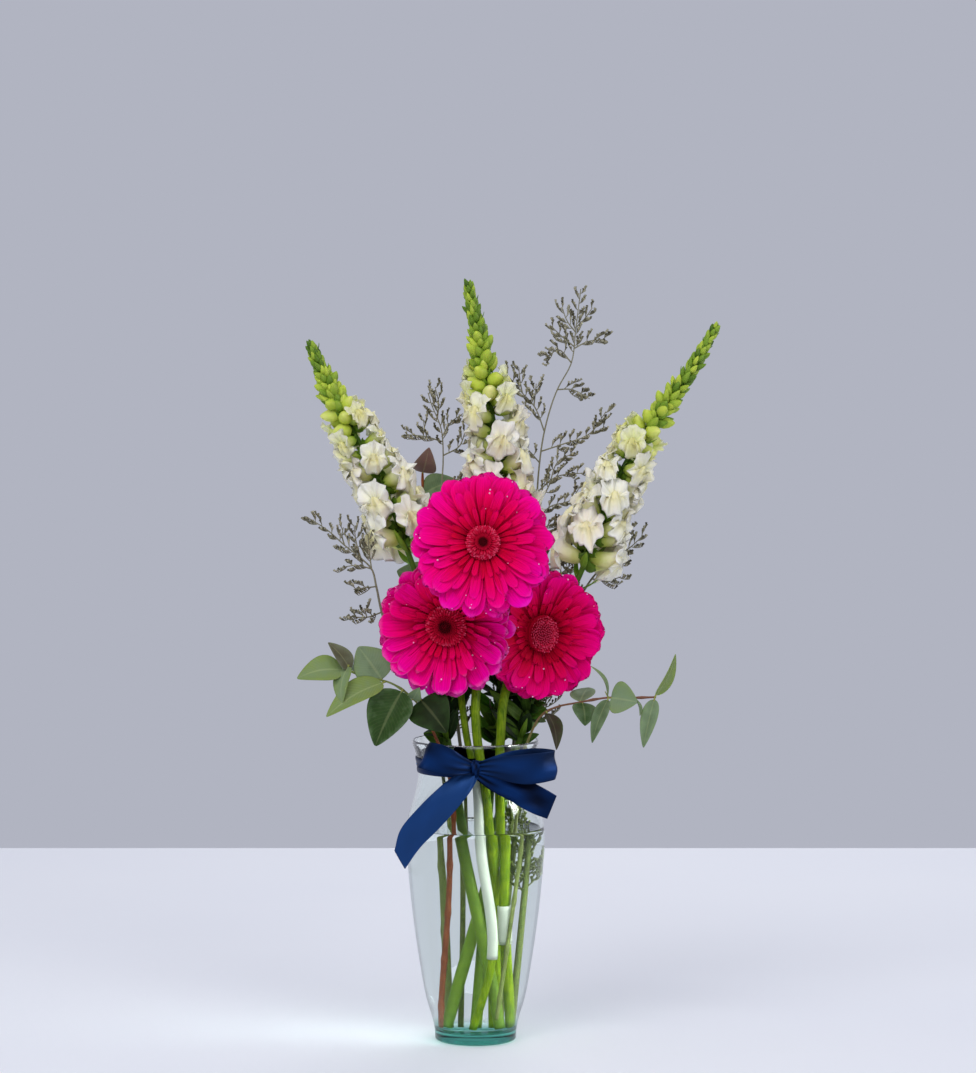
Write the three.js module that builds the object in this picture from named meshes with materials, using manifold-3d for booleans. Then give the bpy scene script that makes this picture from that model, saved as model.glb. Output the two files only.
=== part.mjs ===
// A tied bunch of three gerberas with snapdragons, sea lavender and eucalyptus,
// standing in a glass vase of water with a satin bow round its neck.
// Millimetres, +Z up. The origin is the middle of the vase's underside, and the front looks along -Y.

import * as THREE from 'three';
import { mergeVertices } from 'three/addons/utils/BufferGeometryUtils.js';
import Module from 'manifold-3d';

const wasm = await Module();
wasm.setup();

// ---------------------------------------------------------------- driving dimensions

const CLEARANCE = 0.35; // running gap between neighbouring pieces
const GLASS_FACETS = 22; // flats round the vase, the water and the band
const VASE_HEIGHT = 257;
const WALL = 3; // glass thickness
const FLOOR = 9.5; // top of the thick glass bottom
const WATER_LEVEL = 181.5;

const GATHERED = 13; // height of the band, drawn together where the ribbon goes round the neck
const RIBBON_THICKNESS = 1;
const BAND_HEIGHT = 236; // middle of the band

const PETAL_THICKNESS = 0.9;
const LEAF_THICKNESS = 0.8;
const STEM_SIDES = 6;

const v3 = (x, y, z) => new THREE.Vector3(x, y, z);
const points = (rows) => rows.map((row) => v3(...row));
const { lerp, degToRad } = THREE.MathUtils;

/** A number from low to high from the seeded sequence. */
const draw = (low, high) => lerp(low, high, THREE.MathUtils.seededRandom());

const finish = (color, roughness, extra = {}) =>
  new THREE.MeshStandardMaterial({ color, roughness, metalness: 0, ...extra });

const finishes = {
  glass: finish(0xcfe5e1, 0.05, { transparent: true, opacity: 0.35 }),
  water: finish(0xdcebe6, 0.05, { transparent: true, opacity: 0.3 }),
  ribbon: finish(0x14295a, 0.45),
  petal: finish(0xe8077c, 0.6),
  disc: finish(0x6b0f2b, 0.8),
  stem: finish(0x7c9a2b, 0.55),
  straw: finish(0xe9eeea, 0.4),
  spike: finish(0x6f9a2e, 0.6),
  floret: finish(0xf3efd9, 0.7),
  twig: finish(0x6d6a4c, 0.8),
  leaf: finish(0x5d7a55, 0.6),
};

// ---------------------------------------------------------------- solids from rings and outlines

/** A closed mesh with merged corners becomes a solid that can be joined and cut. */
function solidOf(geometry) {
  const bare = geometry.clone();
  bare.deleteAttribute('normal');
  bare.deleteAttribute('uv');
  const merged = mergeVertices(bare, 1e-4);
  return new wasm.Manifold(new wasm.Mesh({
    numProp: 3,
    vertProperties: new Float32Array(merged.attributes.position.array),
    triVerts: new Uint32Array(merged.index.array),
  }));
}

/** All the solids as one body; a scrap that a cut leaves loose is dropped. */
function fuse(solids) {
  const whole = solids.reduce((sum, solid) => sum.add(solid));
  return whole.decompose().reduce((best, body) => (body.volume() > best.volume() ? body : best));
}

function meshOf(name, solid, material) {
  const { vertProperties, triVerts } = solid.getMesh();
  const geometry = new THREE.BufferGeometry();
  geometry.setAttribute('position', new THREE.BufferAttribute(new Float32Array(vertProperties), 3));
  geometry.setIndex(new THREE.BufferAttribute(new Uint32Array(triVerts), 1));
  geometry.computeVertexNormals();
  const mesh = new THREE.Mesh(geometry, material);
  mesh.name = name;
  return mesh;
}

/**
 * A skin over rings of three points, or of the same even number, each going anticlockwise about the
 * way from ring to ring, with flat ends. Both faces of a thin blade get the same diagonals.
 */
function loft(rings) {
  const count = rings[0].length;
  const half = count / 2;
  const faces = [];
  for (let i = 0; i < rings.length - 1; i += 1) {
    for (let j = 0; j < count; j += 1) {
      const a = i * count + j;
      const b = i * count + ((j + 1) % count);
      const c = a + count;
      const d = b + count;
      faces.push(...(j < half ? [a, b, d, a, d, c] : [a, b, c, b, d, c]));
    }
  }
  const last = (rings.length - 1) * count;
  const cap = (...corners) => faces.push(...corners.toReversed(), ...corners.map((c) => last + c));
  if (count === 3) cap(0, 1, 2);
  for (let j = 0; j < half - 1 && count > 3; j += 1) {
    cap(j, j + 1, count - 2 - j);
    cap(j, count - 2 - j, count - 1 - j);
  }
  const geometry = new THREE.BufferGeometry();
  const places = rings.flat().flatMap((point) => point.toArray());
  geometry.setAttribute('position', new THREE.Float32BufferAttribute(places, 3));
  geometry.setIndex(faces);
  return solidOf(geometry);
}

/** Two directions square to a route at each of its points, turned as little as possible on the way. */
function framesAlong(route) {
  const heading = (from, to) => to.clone().sub(from).normalize();
  const tangents = route.map((point, i) => {
    const sum = v3(0, 0, 0);
    if (i > 0) sum.add(heading(route[i - 1], point));
    if (i < route.length - 1) sum.add(heading(point, route[i + 1]));
    return sum.normalize();
  });
  let side = Math.abs(tangents[0].x) < 0.9 ? v3(1, 0, 0) : v3(0, 0, 1);
  return tangents.map((tangent) => {
    side = side.clone().addScaledVector(tangent, -side.dot(tangent)).normalize();
    return { side, up: tangent.clone().cross(side) };
  });
}

/** A stem or twig: a tapering prism along a route. From a step on it may be knobbly with small buds. */
function tube(route, radii, sides = STEM_SIDES, knobblyFrom = Infinity, relief = 0) {
  const frames = framesAlong(route);
  return loft(route.map((point, i) => Array.from({ length: sides }, (_, j) => {
    const turn = (2 * Math.PI * j) / sides;
    const knob = i < knobblyFrom || i === route.length - 1 ? 1 : 1 + relief * (-1) ** (i + j);
    return point.clone()
      .addScaledVector(frames[i].side, radii[i] * knob * Math.cos(turn))
      .addScaledVector(frames[i].up, radii[i] * knob * Math.sin(turn));
  })));
}

/**
 * A petal, leaf or ribbon: a thin plate along stations {at, across, dip, thick}. across is half its
 * width, and a dip lowers its middle into a channel.
 */
function blade(stations, thickness) {
  const route = stations.map((station) => station.at);
  return loft(stations.map(({ at, across, dip = 0, thick = thickness }, i) => {
    const ahead = route[Math.min(i + 1, route.length - 1)].clone().sub(route[Math.max(i - 1, 0)]);
    const lift = ahead.cross(across).normalize();
    const edge = (sign, height) =>
      at.clone().addScaledVector(across, sign).addScaledVector(lift, (height * thick) / 2);
    const middle = (height) =>
      at.clone().addScaledVector(lift, (height * thick) / 2 - dip);
    return dip === 0
      ? [edge(1, 1), edge(-1, 1), edge(-1, -1), edge(1, -1)]
      : [edge(1, 1), middle(1), edge(-1, 1), edge(-1, -1), middle(-1), edge(1, -1)];
  }));
}

/** A turned solid about +Z from [radius, height] pairs that go up the outside. */
function turned(profile, facets = GLASS_FACETS) {
  const outline = profile.map(([radius, height]) => new THREE.Vector2(radius, height));
  return solidOf(new THREE.LatheGeometry(outline, facets).rotateX(Math.PI / 2));
}

// ---------------------------------------------------------------- vase and water

// Outside of the glass from the foot to the rim: [radius, height].
const outside = [
  [33, 0], [34.7, 2], [34.9, 9], [37.2, 20], [41.7, 35], [48, 69], [53.9, 111], [57.6, 148],
  [59, 172], [57.4, 190], [50.8, 214], [48.5, 229], [50.2, 243], [54, 255.5],
];
const inside = outside
  .filter(([, height]) => height > 30)
  .map(([radius, height]) => [radius - WALL, height]);
const hollowFoot = [[27, FLOOR], [30, 13], [34, 22]];

const vase = turned([
  [0, 0], ...outside, [52.7, VASE_HEIGHT],
  ...inside.toReversed(), ...hollowFoot.toReversed(), [0, FLOOR],
]);

// The water's edge lies between the two rows of the glass that are next below and above it.
const aboveWater = inside.findIndex(([, height]) => height > WATER_LEVEL);
const [[lowRadius, lowHeight], [highRadius, highHeight]] = inside.slice(aboveWater - 1, aboveWater + 1);
const edgeRadius = lerp(lowRadius, highRadius, (WATER_LEVEL - lowHeight) / (highHeight - lowHeight));
const wetWall = [...hollowFoot, ...inside.slice(0, aboveWater), [edgeRadius, WATER_LEVEL]]
  .map(([radius, height]) => [radius - CLEARANCE, Math.max(height, FLOOR + CLEARANCE)]);
const fullWater = turned([[0, FLOOR + CLEARANCE], ...wetWall, [0, WATER_LEVEL]]);

// ---------------------------------------------------------------- routes of the stems

const STEM_FOOT = 13; // the cut ends stand just above the glass

const gerberas = [
  {
    centre: v3(6.5, -82, 429), turn: 0, pitch: 9, reach: 59, cup: 6, disc: 14.5, stem: 3.3,
    foot: [[11, 13, STEM_FOOT], [12, -4, 120], [12, -22, 175], [7, -29, 226], [2, -30, 256],
      [0, -24, 288], [3, -13, 318], [5, -10, 350], [6, -14, 380], [6.5, -32, 405]],
  },
  {
    centre: v3(-24.8, -38, 356), turn: -12, pitch: -14, reach: 61, cup: 25, disc: 18, stem: 2.6,
    foot: [[-2, -13, STEM_FOOT], [12, -24, 73], [3.5, -31, 175], [0.5, -24, 226], [-6.5, -20, 256],
      [-13, -10, 300], [-19, -1, 335], [-23, 2, 355]],
    straw: [73, 238],
  },
  {
    centre: v3(57, -16, 348), turn: 18, pitch: -4, reach: 55, cup: 17, disc: 16.5, stem: 3.3,
    foot: [[24, -4, STEM_FOOT], [20, -14, 120], [21, -18, 175], [20, -22, 226], [21, -22, 256],
      [24, -16, 293], [33, -2, 322], [41, 7, 340]],
    straw: [84, 122],
  },
];

const snapdragons = [
  {
    foot: [[18, -13, STEM_FOOT], [-10, -10, 175], [-19, -8, 226], [-24, -6, 256], [-43, 8, 374]],
    spike: [[-58.6, 18, 418], [-72, 21, 455], [-89, 22, 491], [-107, 20, 523], [-124, 16, 555],
      [-139.4, 11, 591.5]],
    open: [0, 5],
  },
  {
    foot: [[0, 7, STEM_FOOT], [10, 14, 175], [14, 16, 226], [17, 18, 256]],
    spike: [[22.7, 30, 407], [21.5, 34, 475], [16.8, 36, 518], [9.9, 36, 557], [2, 34, 600],
      [-6.4, 30, 644.6]],
    open: [1, 5],
  },
  {
    foot: [[-19, 0, STEM_FOOT], [16.5, 4, 175], [29, 6, 226], [38, 8, 256], [63.6, 14, 340]],
    spike: [[92, 20, 403], [106.6, 24, 441], [119.6, 26, 474], [138.4, 26, 508], [159.7, 24, 536],
      [183.6, 22, 570], [205.7, 20, 608.6]],
    open: [0, 4],
  },
];

// ---------------------------------------------------------------- gerberas

/** The place at x across, y up and z out from the middle of a head's face. */
function onHead({ centre, turn, pitch }, x, y, z) {
  const [yaw, tip] = [degToRad(turn), degToRad(pitch)];
  const facing = v3(Math.sin(yaw) * Math.cos(tip), -Math.cos(yaw) * Math.cos(tip), Math.sin(tip));
  const right = v3(Math.cos(yaw), Math.sin(yaw), 0);
  const upward = facing.clone().cross(right);
  return centre.clone()
    .addScaledVector(right, x)
    .addScaledVector(upward, y)
    .addScaledVector(facing, z);
}

/** A solid turned about +Z is stood on a head, its axis along the way the head faces. */
function standOnHead(head, solid) {
  const axis = (x, y, z) => onHead(head, x, y, z).sub(head.centre);
  const pose = new THREE.Matrix4().makeBasis(axis(1, 0, 0), axis(0, 1, 0), axis(0, 0, 1));
  return solid.transform(pose.setPosition(head.centre).elements);
}

const RECEPTACLE_FRONT = -2.8;
const RECEPTACLE_BACK = -10;
const rayOutline = [[0, 1], [0.84, 1], [1, 0.5]]; // [share along, width]
// Layers of rays from the back to the front: share of the reach, root height, extra cup in degrees.
const rayLayers = [
  { rays: 16, share: 1, root: -8.5, extra: 0, spread: 0.36, widest: 15 },
  { rays: 11, share: 0.9, root: -6.7, extra: 3, spread: 0.5, widest: 14.5 },
  { rays: 6, share: 0.6, root: -4.9, extra: 8, spread: 0.75, widest: 12 },
];

/** One strap-shaped ray that rises from its root at the cup's angle and droops at its tip. */
function ray(head, layer, index) {
  const root = head.disc - 3;
  const reach = head.reach * layer.share * draw(0.96, 1.02);
  const around = (2 * Math.PI * (index + draw(-0.03, 0.03))) / layer.rays + layer.root;
  const cup = degToRad(head.cup + layer.extra + draw(-1.5, 1.5));
  const [out, sideways] = [[Math.cos(around), Math.sin(around)], [-Math.sin(around), Math.cos(around)]];
  const stations = rayOutline.map(([share, width]) => {
    const along = lerp(0, reach - root, share);
    const radius = root + along * Math.cos(cup);
    const height = layer.root + along * Math.sin(cup) - 3 * share ** 4;
    const half = (Math.min(layer.spread * radius, layer.widest) * width) / 2;
    const at = onHead(head, out[0] * radius, out[1] * radius, height);
    const beside = onHead(head, out[0] * radius + sideways[0], out[1] * radius + sideways[1], height);
    return { at, across: beside.sub(at).multiplyScalar(-half) };
  });
  return blade(stations, PETAL_THICKNESS);
}

function gerberaPetals(head) {
  const rim = head.disc + 0.4;
  const receptacle = standOnHead(head, turned([
    [0, RECEPTACLE_BACK], [rim - 2, RECEPTACLE_BACK], [rim, -7], [rim, RECEPTACLE_FRONT],
    [0, RECEPTACLE_FRONT],
  ], 16));
  const rays = rayLayers.flatMap((layer) =>
    Array.from({ length: layer.rays }, (_, index) => ray(head, layer, index)));
  return fuse([receptacle, ...rays]);
}

/** The domed centre, its tiny florets raised as rings of points with the crown highest. */
function gerberaDisc(head) {
  const seat = RECEPTACLE_FRONT + CLEARANCE;
  const [facets, relief] = [18, 0.8];
  const rings = [[1, 1.4], [0.8, 3.4], [0.55, 1.8], [0.28, 1.2]];
  const crown = rings.map(([radius, height]) => [radius * head.disc, height]);
  const outline = [[0, seat], [head.disc - 0.6, seat], ...crown, [0, 1.8]];
  const shape = new THREE.LatheGeometry(
    outline.map(([radius, height]) => new THREE.Vector2(radius, height)),
    facets,
  ).rotateX(Math.PI / 2);
  const spot = shape.attributes.position;
  for (let i = 0; i < spot.count; i += 1) {
    const ring = i % outline.length;
    const sector = Math.floor(i / outline.length) % facets;
    const raised = ring >= 2 && ring < outline.length - 1;
    if (raised) spot.setZ(i, spot.getZ(i) + relief * ((ring + sector) % 2 === 0 ? 1 : -1));
  }
  return standOnHead(head, solidOf(shape));
}

/** Route and radii of a gerbera's stem, ending in the green cup of bracts under its head. */
function gerberaStemLine(head) {
  const behind = (depth) => onHead(head, 0, 0, RECEPTACLE_BACK - depth);
  const route = [...points(head.foot), behind(16), behind(9), behind(4), behind(CLEARANCE)];
  const radii = [...head.foot.map(() => head.stem), head.stem, 4.6, 8.5, head.disc - 3];
  return { route, radii };
}

/** The stretch of a route between two heights in its lower, straight part. */
function stretch(route, [low, high]) {
  const atHeight = (height) => {
    const i = route.findIndex((point) => point.z > height);
    const share = (height - route[i - 1].z) / (route[i].z - route[i - 1].z);
    return route[i - 1].clone().lerp(route[i], share);
  };
  return [atHeight(low), ...route.filter((point) => point.z > low && point.z < high), atHeight(high)];
}

const STRAW_WALL = 0.7;

/** A support straw drawn over the stem between two heights. */
function straw(head) {
  const { route, radii } = gerberaStemLine(head);
  const piece = stretch(route, head.straw);
  const outer = tube(piece, piece.map(() => head.stem + CLEARANCE + STRAW_WALL));
  return fuse([outer.subtract(tube(route, radii.map((radius) => radius + CLEARANCE)))]);
}

// ---------------------------------------------------------------- snapdragons

const SPIKE_STEPS = 8;
const RACHIS = 2.4;
const TIP_ROWS = 13; // rows of small green buds round the tip of the spike
const TIP_RELIEF = 0.4;
const BUDS = 7; // the larger yellow-green buds between the open florets and the tip
const FLORET_ROUNDS = 3;
const SLEEVE_WALL = 2.45; // the calyx sleeve that carries the florets

/** Route and radii of a snapdragon's stem from its cut end to where its tip of green buds begins. */
function spikeLine(flower) {
  const curve = new THREE.CatmullRomCurve3(points(flower.spike));
  const upper = curve.getSpacedPoints(SPIKE_STEPS);
  const tipFrom = flower.open[1] + 1;
  const route = [...points(flower.foot), ...upper.slice(0, tipFrom + 1)];
  return { curve, upper, tipFrom, route, radii: route.map(() => RACHIS) };
}

/** Where something grows from the spike: its place, the way up, the way out and the side. */
function budSeat(curve, share, around) {
  const up = curve.getTangentAt(share);
  const reference = v3(0, -1, 0);
  const front = reference.addScaledVector(up, -reference.dot(up)).normalize();
  const out = front.applyAxisAngle(up, around);
  return { base: curve.getPointAt(share), up, out, side: up.clone().cross(out) };
}

const from = ({ base, up, out, side }, o, u, s = 0) =>
  base.clone().addScaledVector(out, o).addScaledVector(up, u).addScaledVector(side, s);

/** A closed bud: a four-sided spindle that leans up from the spike. */
function bud(seat, length, radius) {
  const route = [0, 0.5, 1].map((share) => from(seat, 0.62 * length * share + 0.4, 0.79 * length * share));
  return tube(route, [0.22, 1, 0.3].map((share) => share * radius), 4);
}

/** A narrow leaf on the lower stem. */
function stemLeaf(seat, length, width) {
  const stations = [[0, 0.2], [0.3, 0.9], [0.65, 0.8], [1, 0.15]].map(([share, wide]) => ({
    at: from(seat, 1 + length * share * 0.75, length * share * 0.62 - 8 * share ** 2),
    across: seat.side.clone().multiplyScalar((-width * wide) / 2),
  }));
  return blade(stations, LEAF_THICKNESS);
}

/** Seats of the leaves, spread over the stretch of stem below the open florets. */
function leafSeat(flower, index) {
  const [low, high] = points(flower.foot.slice(-1).concat(flower.spike.slice(0, 1)));
  const below = new THREE.LineCurve3(low, high);
  return budSeat(below, 0.45 + 0.2 * index, 2.2 * index + 0.6);
}

function snapdragonStem(flower) {
  const { curve, tipFrom, route, radii } = spikeLine(flower);
  const rows = Array.from({ length: TIP_ROWS }, (_, row) => (row + 1) / TIP_ROWS);
  const tip = rows.map((share) => curve.getPointAt(lerp(tipFrom / SPIKE_STEPS, 1, share)));
  const tipRadii = rows.map((share) => lerp(6.4, 1.2, share ** 0.8));
  const parts = [tube([...route, ...tip], [...radii, ...tipRadii], STEM_SIDES, route.length, TIP_RELIEF)];
  for (let k = 0; k < BUDS; k += 1) {
    const share = (flower.open[1] + 0.35 + k * 0.17) / SPIKE_STEPS;
    parts.push(bud(budSeat(curve, share, k * 2.4), 15 - 0.7 * k, 4.6 - 0.2 * k));
  }
  parts.push(...[0, 1].map((k) => stemLeaf(leafSeat(flower, k), 26, 7)));
  return fuse(parts);
}

/** One open floret: a swollen tube that ends in a hanging lip, and a hood standing up at its mouth. */
function floret(seat, size) {
  const section = ([o, u, half, thick]) => ({
    at: from(seat, o * size, u * size),
    across: seat.side.clone().multiplyScalar(-half * size),
    thick: thick * size,
  });
  const throatAndLip = [[4.4 / size, 1, 1, 2], [13, 5, 5.4, 10], [20, 4.5, 6.4, 6.5], [26, 1, 8, 1.1],
    [27.5, -5, 5, 1.1]];
  const hood = [[13, 6, 4, 1.1], [16, 15, 9, 1.1], [21, 20, 6, 1.1]];
  return blade(throatAndLip.map(section), 1).add(blade(hood.map(section), 1));
}

function snapdragonFlorets(flower) {
  const { curve, upper, route, radii } = spikeLine(flower);
  const [first, last] = flower.open;
  const sleevePart = upper.slice(first, last + 1);
  const sleeve = tube(sleevePart, sleevePart.map(() => RACHIS + CLEARANCE + SLEEVE_WALL));
  const parts = [sleeve];
  for (let round = 0; round < FLORET_ROUNDS; round += 1) {
    const upwards = round / (FLORET_ROUNDS - 1);
    const share = lerp(first + 0.35, last - 0.5, upwards) / SPIKE_STEPS;
    const size = lerp(1, 0.7, upwards);
    for (let k = 0; k < 3; k += 1) {
      const around = round * 1.05 + (k * 2 * Math.PI) / 3 + draw(-0.12, 0.12);
      parts.push(floret(budSeat(curve, share, around), size));
    }
  }
  return fuse([fuse(parts).subtract(tube(route, radii.map((radius) => radius + CLEARANCE)))]);
}

// ---------------------------------------------------------------- sea lavender

// Each spray: the stem's route and thickness, then its branches as routes that start on it.
const limoniums = [
  {
    stem: [[21, 8, STEM_FOOT], [27, 12, 100], [31, 16, 175], [31, 16, 226], [33, 18, 256],
      [42, 32, 350], [52, 50, 440], [54, 50, 481], [59, 48, 517], [70, 44, 553], [82, 42, 576],
      [85.6, 42, 604], [90, 42, 639]],
    thick: 2.4,
    branches: [
      [[82, 42, 576], [70.6, 46, 587], [59.8, 48, 579]],
      [[85.6, 42, 602], [78, 38, 612], [74, 38, 623]],
      [[85.6, 42, 606], [93, 46, 613], [100, 46, 623]],
      [[84, 42, 590], [72, 40, 600], [65, 40, 607]],
      [[84, 42, 588], [96, 44, 594], [111, 44, 596]],
      [[70, 44, 553], [82, 48, 553], [98, 48, 545]],
      [[59, 48, 517], [50, 48, 539], [40, 50, 550], [26, 50, 567]],
      [[50, 48, 539], [52, 50, 558]],
      [[40, 50, 550], [37, 52, 572]],
      [[56.5, 49, 500], [75, 52, 506], [98, 52, 515], [112, 52, 534]],
      [[98, 52, 515], [111, 54, 521]],
      [[55, 49.5, 490], [44, 52, 502], [36, 54, 508]],
      [[53, 50, 465], [70, 54, 478], [92, 56, 481]],
      [[52, 50, 440], [64, 54, 452], [82, 54, 458], [90, 54, 470]],
      [[49, 45, 415], [60, 50, 424], [76, 48, 428]],
    ],
  },
  {
    stem: [[-8, 16, STEM_FOOT], [-8, 18, 175], [-10, 20, 226], [-14, 24, 256], [-26, 50, 400],
      [-29, 58, 473], [-28, 58, 494], [-30, 58, 520], [-38, 58, 540], [-41, 58, 550]],
    thick: 1.6,
    branches: [
      [[-33, 58, 528], [-32, 60, 542], [-35, 60, 555]],
      [[-28, 58, 496], [-14, 62, 504], [-8, 62, 518], [-2, 62, 525]],
      [[-29, 58, 512], [-22, 62, 524], [-11, 64, 532]],
      [[-29, 58, 508], [-42, 60, 512], [-59, 60, 514]],
      [[-42, 60, 512], [-45, 62, 527]],
      [[-28, 57, 460], [-12, 60, 474], [-4, 60, 480]],
    ],
  },
  {
    stem: [[-14, 10, STEM_FOOT], [-22, 8, 175], [-28, 6, 226], [-34, 4, 256], [-60, 2, 320],
      [-79.5, 0, 365], [-84, -2, 387], [-88, -2, 402], [-97, -2, 411], [-111, 0, 422],
      [-124.5, 0, 434], [-143, 0, 446]],
    thick: 1.6,
    branches: [
      [[-111, 0, 422], [-113, 2, 430], [-112, 2, 437]],
      [[-97, -2, 411], [-101, 2, 424], [-103, 2, 439]],
      [[-88, -2, 402], [-90, 2, 416], [-91, 4, 431]],
      [[-88, -2, 402], [-100, -5, 405], [-111, -6, 404]],
      [[-84, -2, 387], [-94, -6, 386], [-103, -8, 385]],
      [[-79.5, 0, 365], [-92, -4, 361], [-107, -6, 362]],
      [[-92, -4, 361], [-94, -6, 369]],
    ],
  },
  {
    stem: [[12, 22, STEM_FOOT], [22, 26, 175], [28, 28, 226], [36, 30, 256], [70, 44, 330],
      [100, 52, 390], [118, 54, 411], [134, 54, 436]],
    thick: 1.5,
    branches: [
      [[110, 53, 402], [122, 52, 404], [133, 50, 409]],
      [[118, 54, 411], [130, 54, 415], [144, 54, 427]],
      [[128, 54, 426], [126, 54, 440]],
      [[100, 52, 390], [113, 50, 388], [125, 48, 392]],
      [[85, 48, 360], [84, 54, 385], [76, 58, 408]],
    ],
  },
];

const TWIG = 0.6; // half thickness of the finest twigs
const CALYX_SPACING = 30;

/** Tiny calyces along a branch, leaning forward from alternate sides. */
function calyces(route) {
  const curve = new THREE.CatmullRomCurve3(route);
  const number = Math.max(1, Math.round(curve.getLength() / CALYX_SPACING));
  return Array.from({ length: number }, (_, i) => {
    const share = (i + 1) / number;
    const base = curve.getPointAt(share);
    const ahead = curve.getTangentAt(share);
    const sideways = ahead.clone().cross(v3(0, 1, 0)).normalize();
    const lean = sideways.multiplyScalar(i % 2 === 0 ? 1 : -1).add(v3(0, draw(-0.6, 0.6), 0.5));
    const tip = base.clone().addScaledVector(ahead, 1.6).addScaledVector(lean, 3.6);
    return tube([base, tip], [0.25, 1.2], 3);
  });
}

function limonium({ stem, thick, branches }) {
  const route = points(stem);
  const radii = route.map((_, i) => lerp(thick, TWIG, Math.max(0, i - 4) / (route.length - 5)));
  const parts = [tube(route, radii, 4)];
  branches.forEach((branch) => {
    const line = points(branch);
    parts.push(tube(line, line.map((_, i) => TWIG + 0.15 * (line.length - 1 - i)), 3));
    parts.push(...calyces(line));
  });
  parts.push(...calyces(route.slice(-3)));
  return fuse(parts);
}

// ---------------------------------------------------------------- eucalyptus

// Each leaf: base, tip, width and the way its upper face looks.
const eucalyptuses = {
  left: {
    stem: [[-25, -7, STEM_FOOT], [-18, -17, 175], [-21, -24, 226], [-31, -29, 256],
      [-51, -22, 292], [-70, -20, 306], [-92, -19, 312], [-112, -20, 319]],
    thick: 2.3,
    leaves: [
      { base: [-110, -21, 318], tip: [-150, -25, 311], width: 24, faces: [-0.1, -0.8, 0.6] },
      { base: [-105, -20, 317], tip: [-124, -22, 341], width: 15, faces: [0.5, -0.8, 0.3] },
      { base: [-107, -21, 322], tip: [-112, -36, 289], width: 15, faces: [-0.5, -0.8, 0.4] },
      { base: [-78, -19, 308], tip: [-99, -6, 336], width: 32, faces: [0.2, -0.95, 0.2] },
      { base: [-76, -20, 308], tip: [-124.8, -38, 280], width: 23, faces: [0, -0.7, 0.7] },
      { base: [-61, -22, 302], tip: [-84, -34, 255], width: 36, faces: [-0.2, -0.95, 0.3] },
      { base: [-47, -24, 294], tip: [-24, -42, 267], width: 34, faces: [0, -1, 0.3] },
      { base: [-53, -23, 293], tip: [-47, -34, 304], width: 11, faces: [0.1, -1, 0.1] },
      { base: [-92, -18, 312], tip: [-104, 14, 318], width: 22, faces: [-0.2, 0.1, 1] },
    ],
  },
  right: {
    stem: [[16, -22, 22], [33, -14, 175], [38, -12, 226], [44, -14, 256], [58.7, -14, 281],
      [66, -16, 285], [88, -22, 290.5], [112, -27, 295], [135, -28, 295], [152, -28, 295.5]],
    thick: 1.8,
    leaves: [
      { base: [60, -15, 282], tip: [68, -36, 252], width: 14, faces: [0.5, -0.8, 0.2] },
      { base: [112, -27, 295], tip: [97, -32, 322], width: 9, faces: [0.8, -0.3, 0.5] },
      { base: [90, -22, 291], tip: [92, -34, 272], width: 20, faces: [0.3, -0.9, 0.2] },
      { base: [112, -27, 295], tip: [98, -38, 258], width: 12, faces: [-0.5, -0.8, -0.1] },
      { base: [113, -27, 295], tip: [136, -36, 292], width: 25, faces: [0, -0.95, 0.3] },
      { base: [134, -28, 295], tip: [138, -38, 281], width: 9, faces: [0.9, -0.3, 0.2] },
      { base: [151, -28, 295.5], tip: [168, -31, 332], width: 12, faces: [0.7, -0.6, 0.2] },
      { base: [151, -28, 295.5], tip: [141, -38, 254], width: 14, faces: [-0.4, -0.9, 0] },
      { base: [88, -21, 290.5], tip: [96, 8, 300], width: 20, faces: [0, 0.1, 1] },
    ],
  },
  back: {
    stem: [[-14, 22, STEM_FOOT], [-20, 24, 175], [-22, 30, 226], [-26, 38, 256],
      [-44, 66, 400], [-46, 72, 462], [-46, 70, 490]],
    thick: 2,
    leaves: [
      { base: [-46, 71, 480], tip: [-40, 50, 503], width: 19, faces: [0.1, -1, 0.2] },
      { base: [-46, 72, 462], tip: [-16, 68, 474], width: 22, faces: [0, -0.9, 0.5] },
      { base: [-45, 70, 440], tip: [-66, 78, 462], width: 24, faces: [0, 0.9, 0.5] },
      { base: [-44, 67, 405], tip: [-20, 84, 420], width: 26, faces: [0.1, 0.9, 0.5] },
      { base: [-42, 63, 385], tip: [-68, 66, 396], width: 26, faces: [-0.2, -0.8, 0.6] },
      { base: [-36, 53, 335], tip: [-58, 68, 344], width: 30, faces: [-0.2, 0.6, 0.8] },
      { base: [-36, 53, 335], tip: [-14, 74, 340], width: 28, faces: [0.2, 0.6, 0.8] },
    ],
  },
};

const BROAD_LEAF = 16; // only wider leaves are creased along the middle
// Outline of a leaf: [share along, half width], from a short stalk past its broad part to the tip.
const leafOutline = [[0, 0.08], [0.26, 0.98], [0.62, 0.84], [1, 0.12]];

function eucalyptusLeaf({ base, tip, width, faces }) {
  const [start, end] = [v3(...base), v3(...tip)];
  const along = end.clone().sub(start);
  const face = v3(...faces).addScaledVector(along, -v3(...faces).dot(along) / along.lengthSq());
  face.normalize();
  const side = along.clone().cross(face).normalize();
  const stations = leafOutline.map(([share, wide]) => ({
    at: start.clone().addScaledVector(along, share)
      .addScaledVector(face, along.length() * 0.07 * Math.sin(Math.PI * share)),
    across: side.clone().multiplyScalar((width * wide) / 2),
    dip: width > BROAD_LEAF ? 0.16 * (width / 2) * wide : 0,
  }));
  return blade(stations, LEAF_THICKNESS);
}

function eucalyptus({ stem, thick, leaves }) {
  const route = points(stem);
  const radii = route.map((_, i) => lerp(thick, 1.1, Math.max(0, i - 3) / (route.length - 4)));
  return fuse([tube(route, radii), ...leaves.map(eucalyptusLeaf)]);
}

// ---------------------------------------------------------------- ribbon

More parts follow.
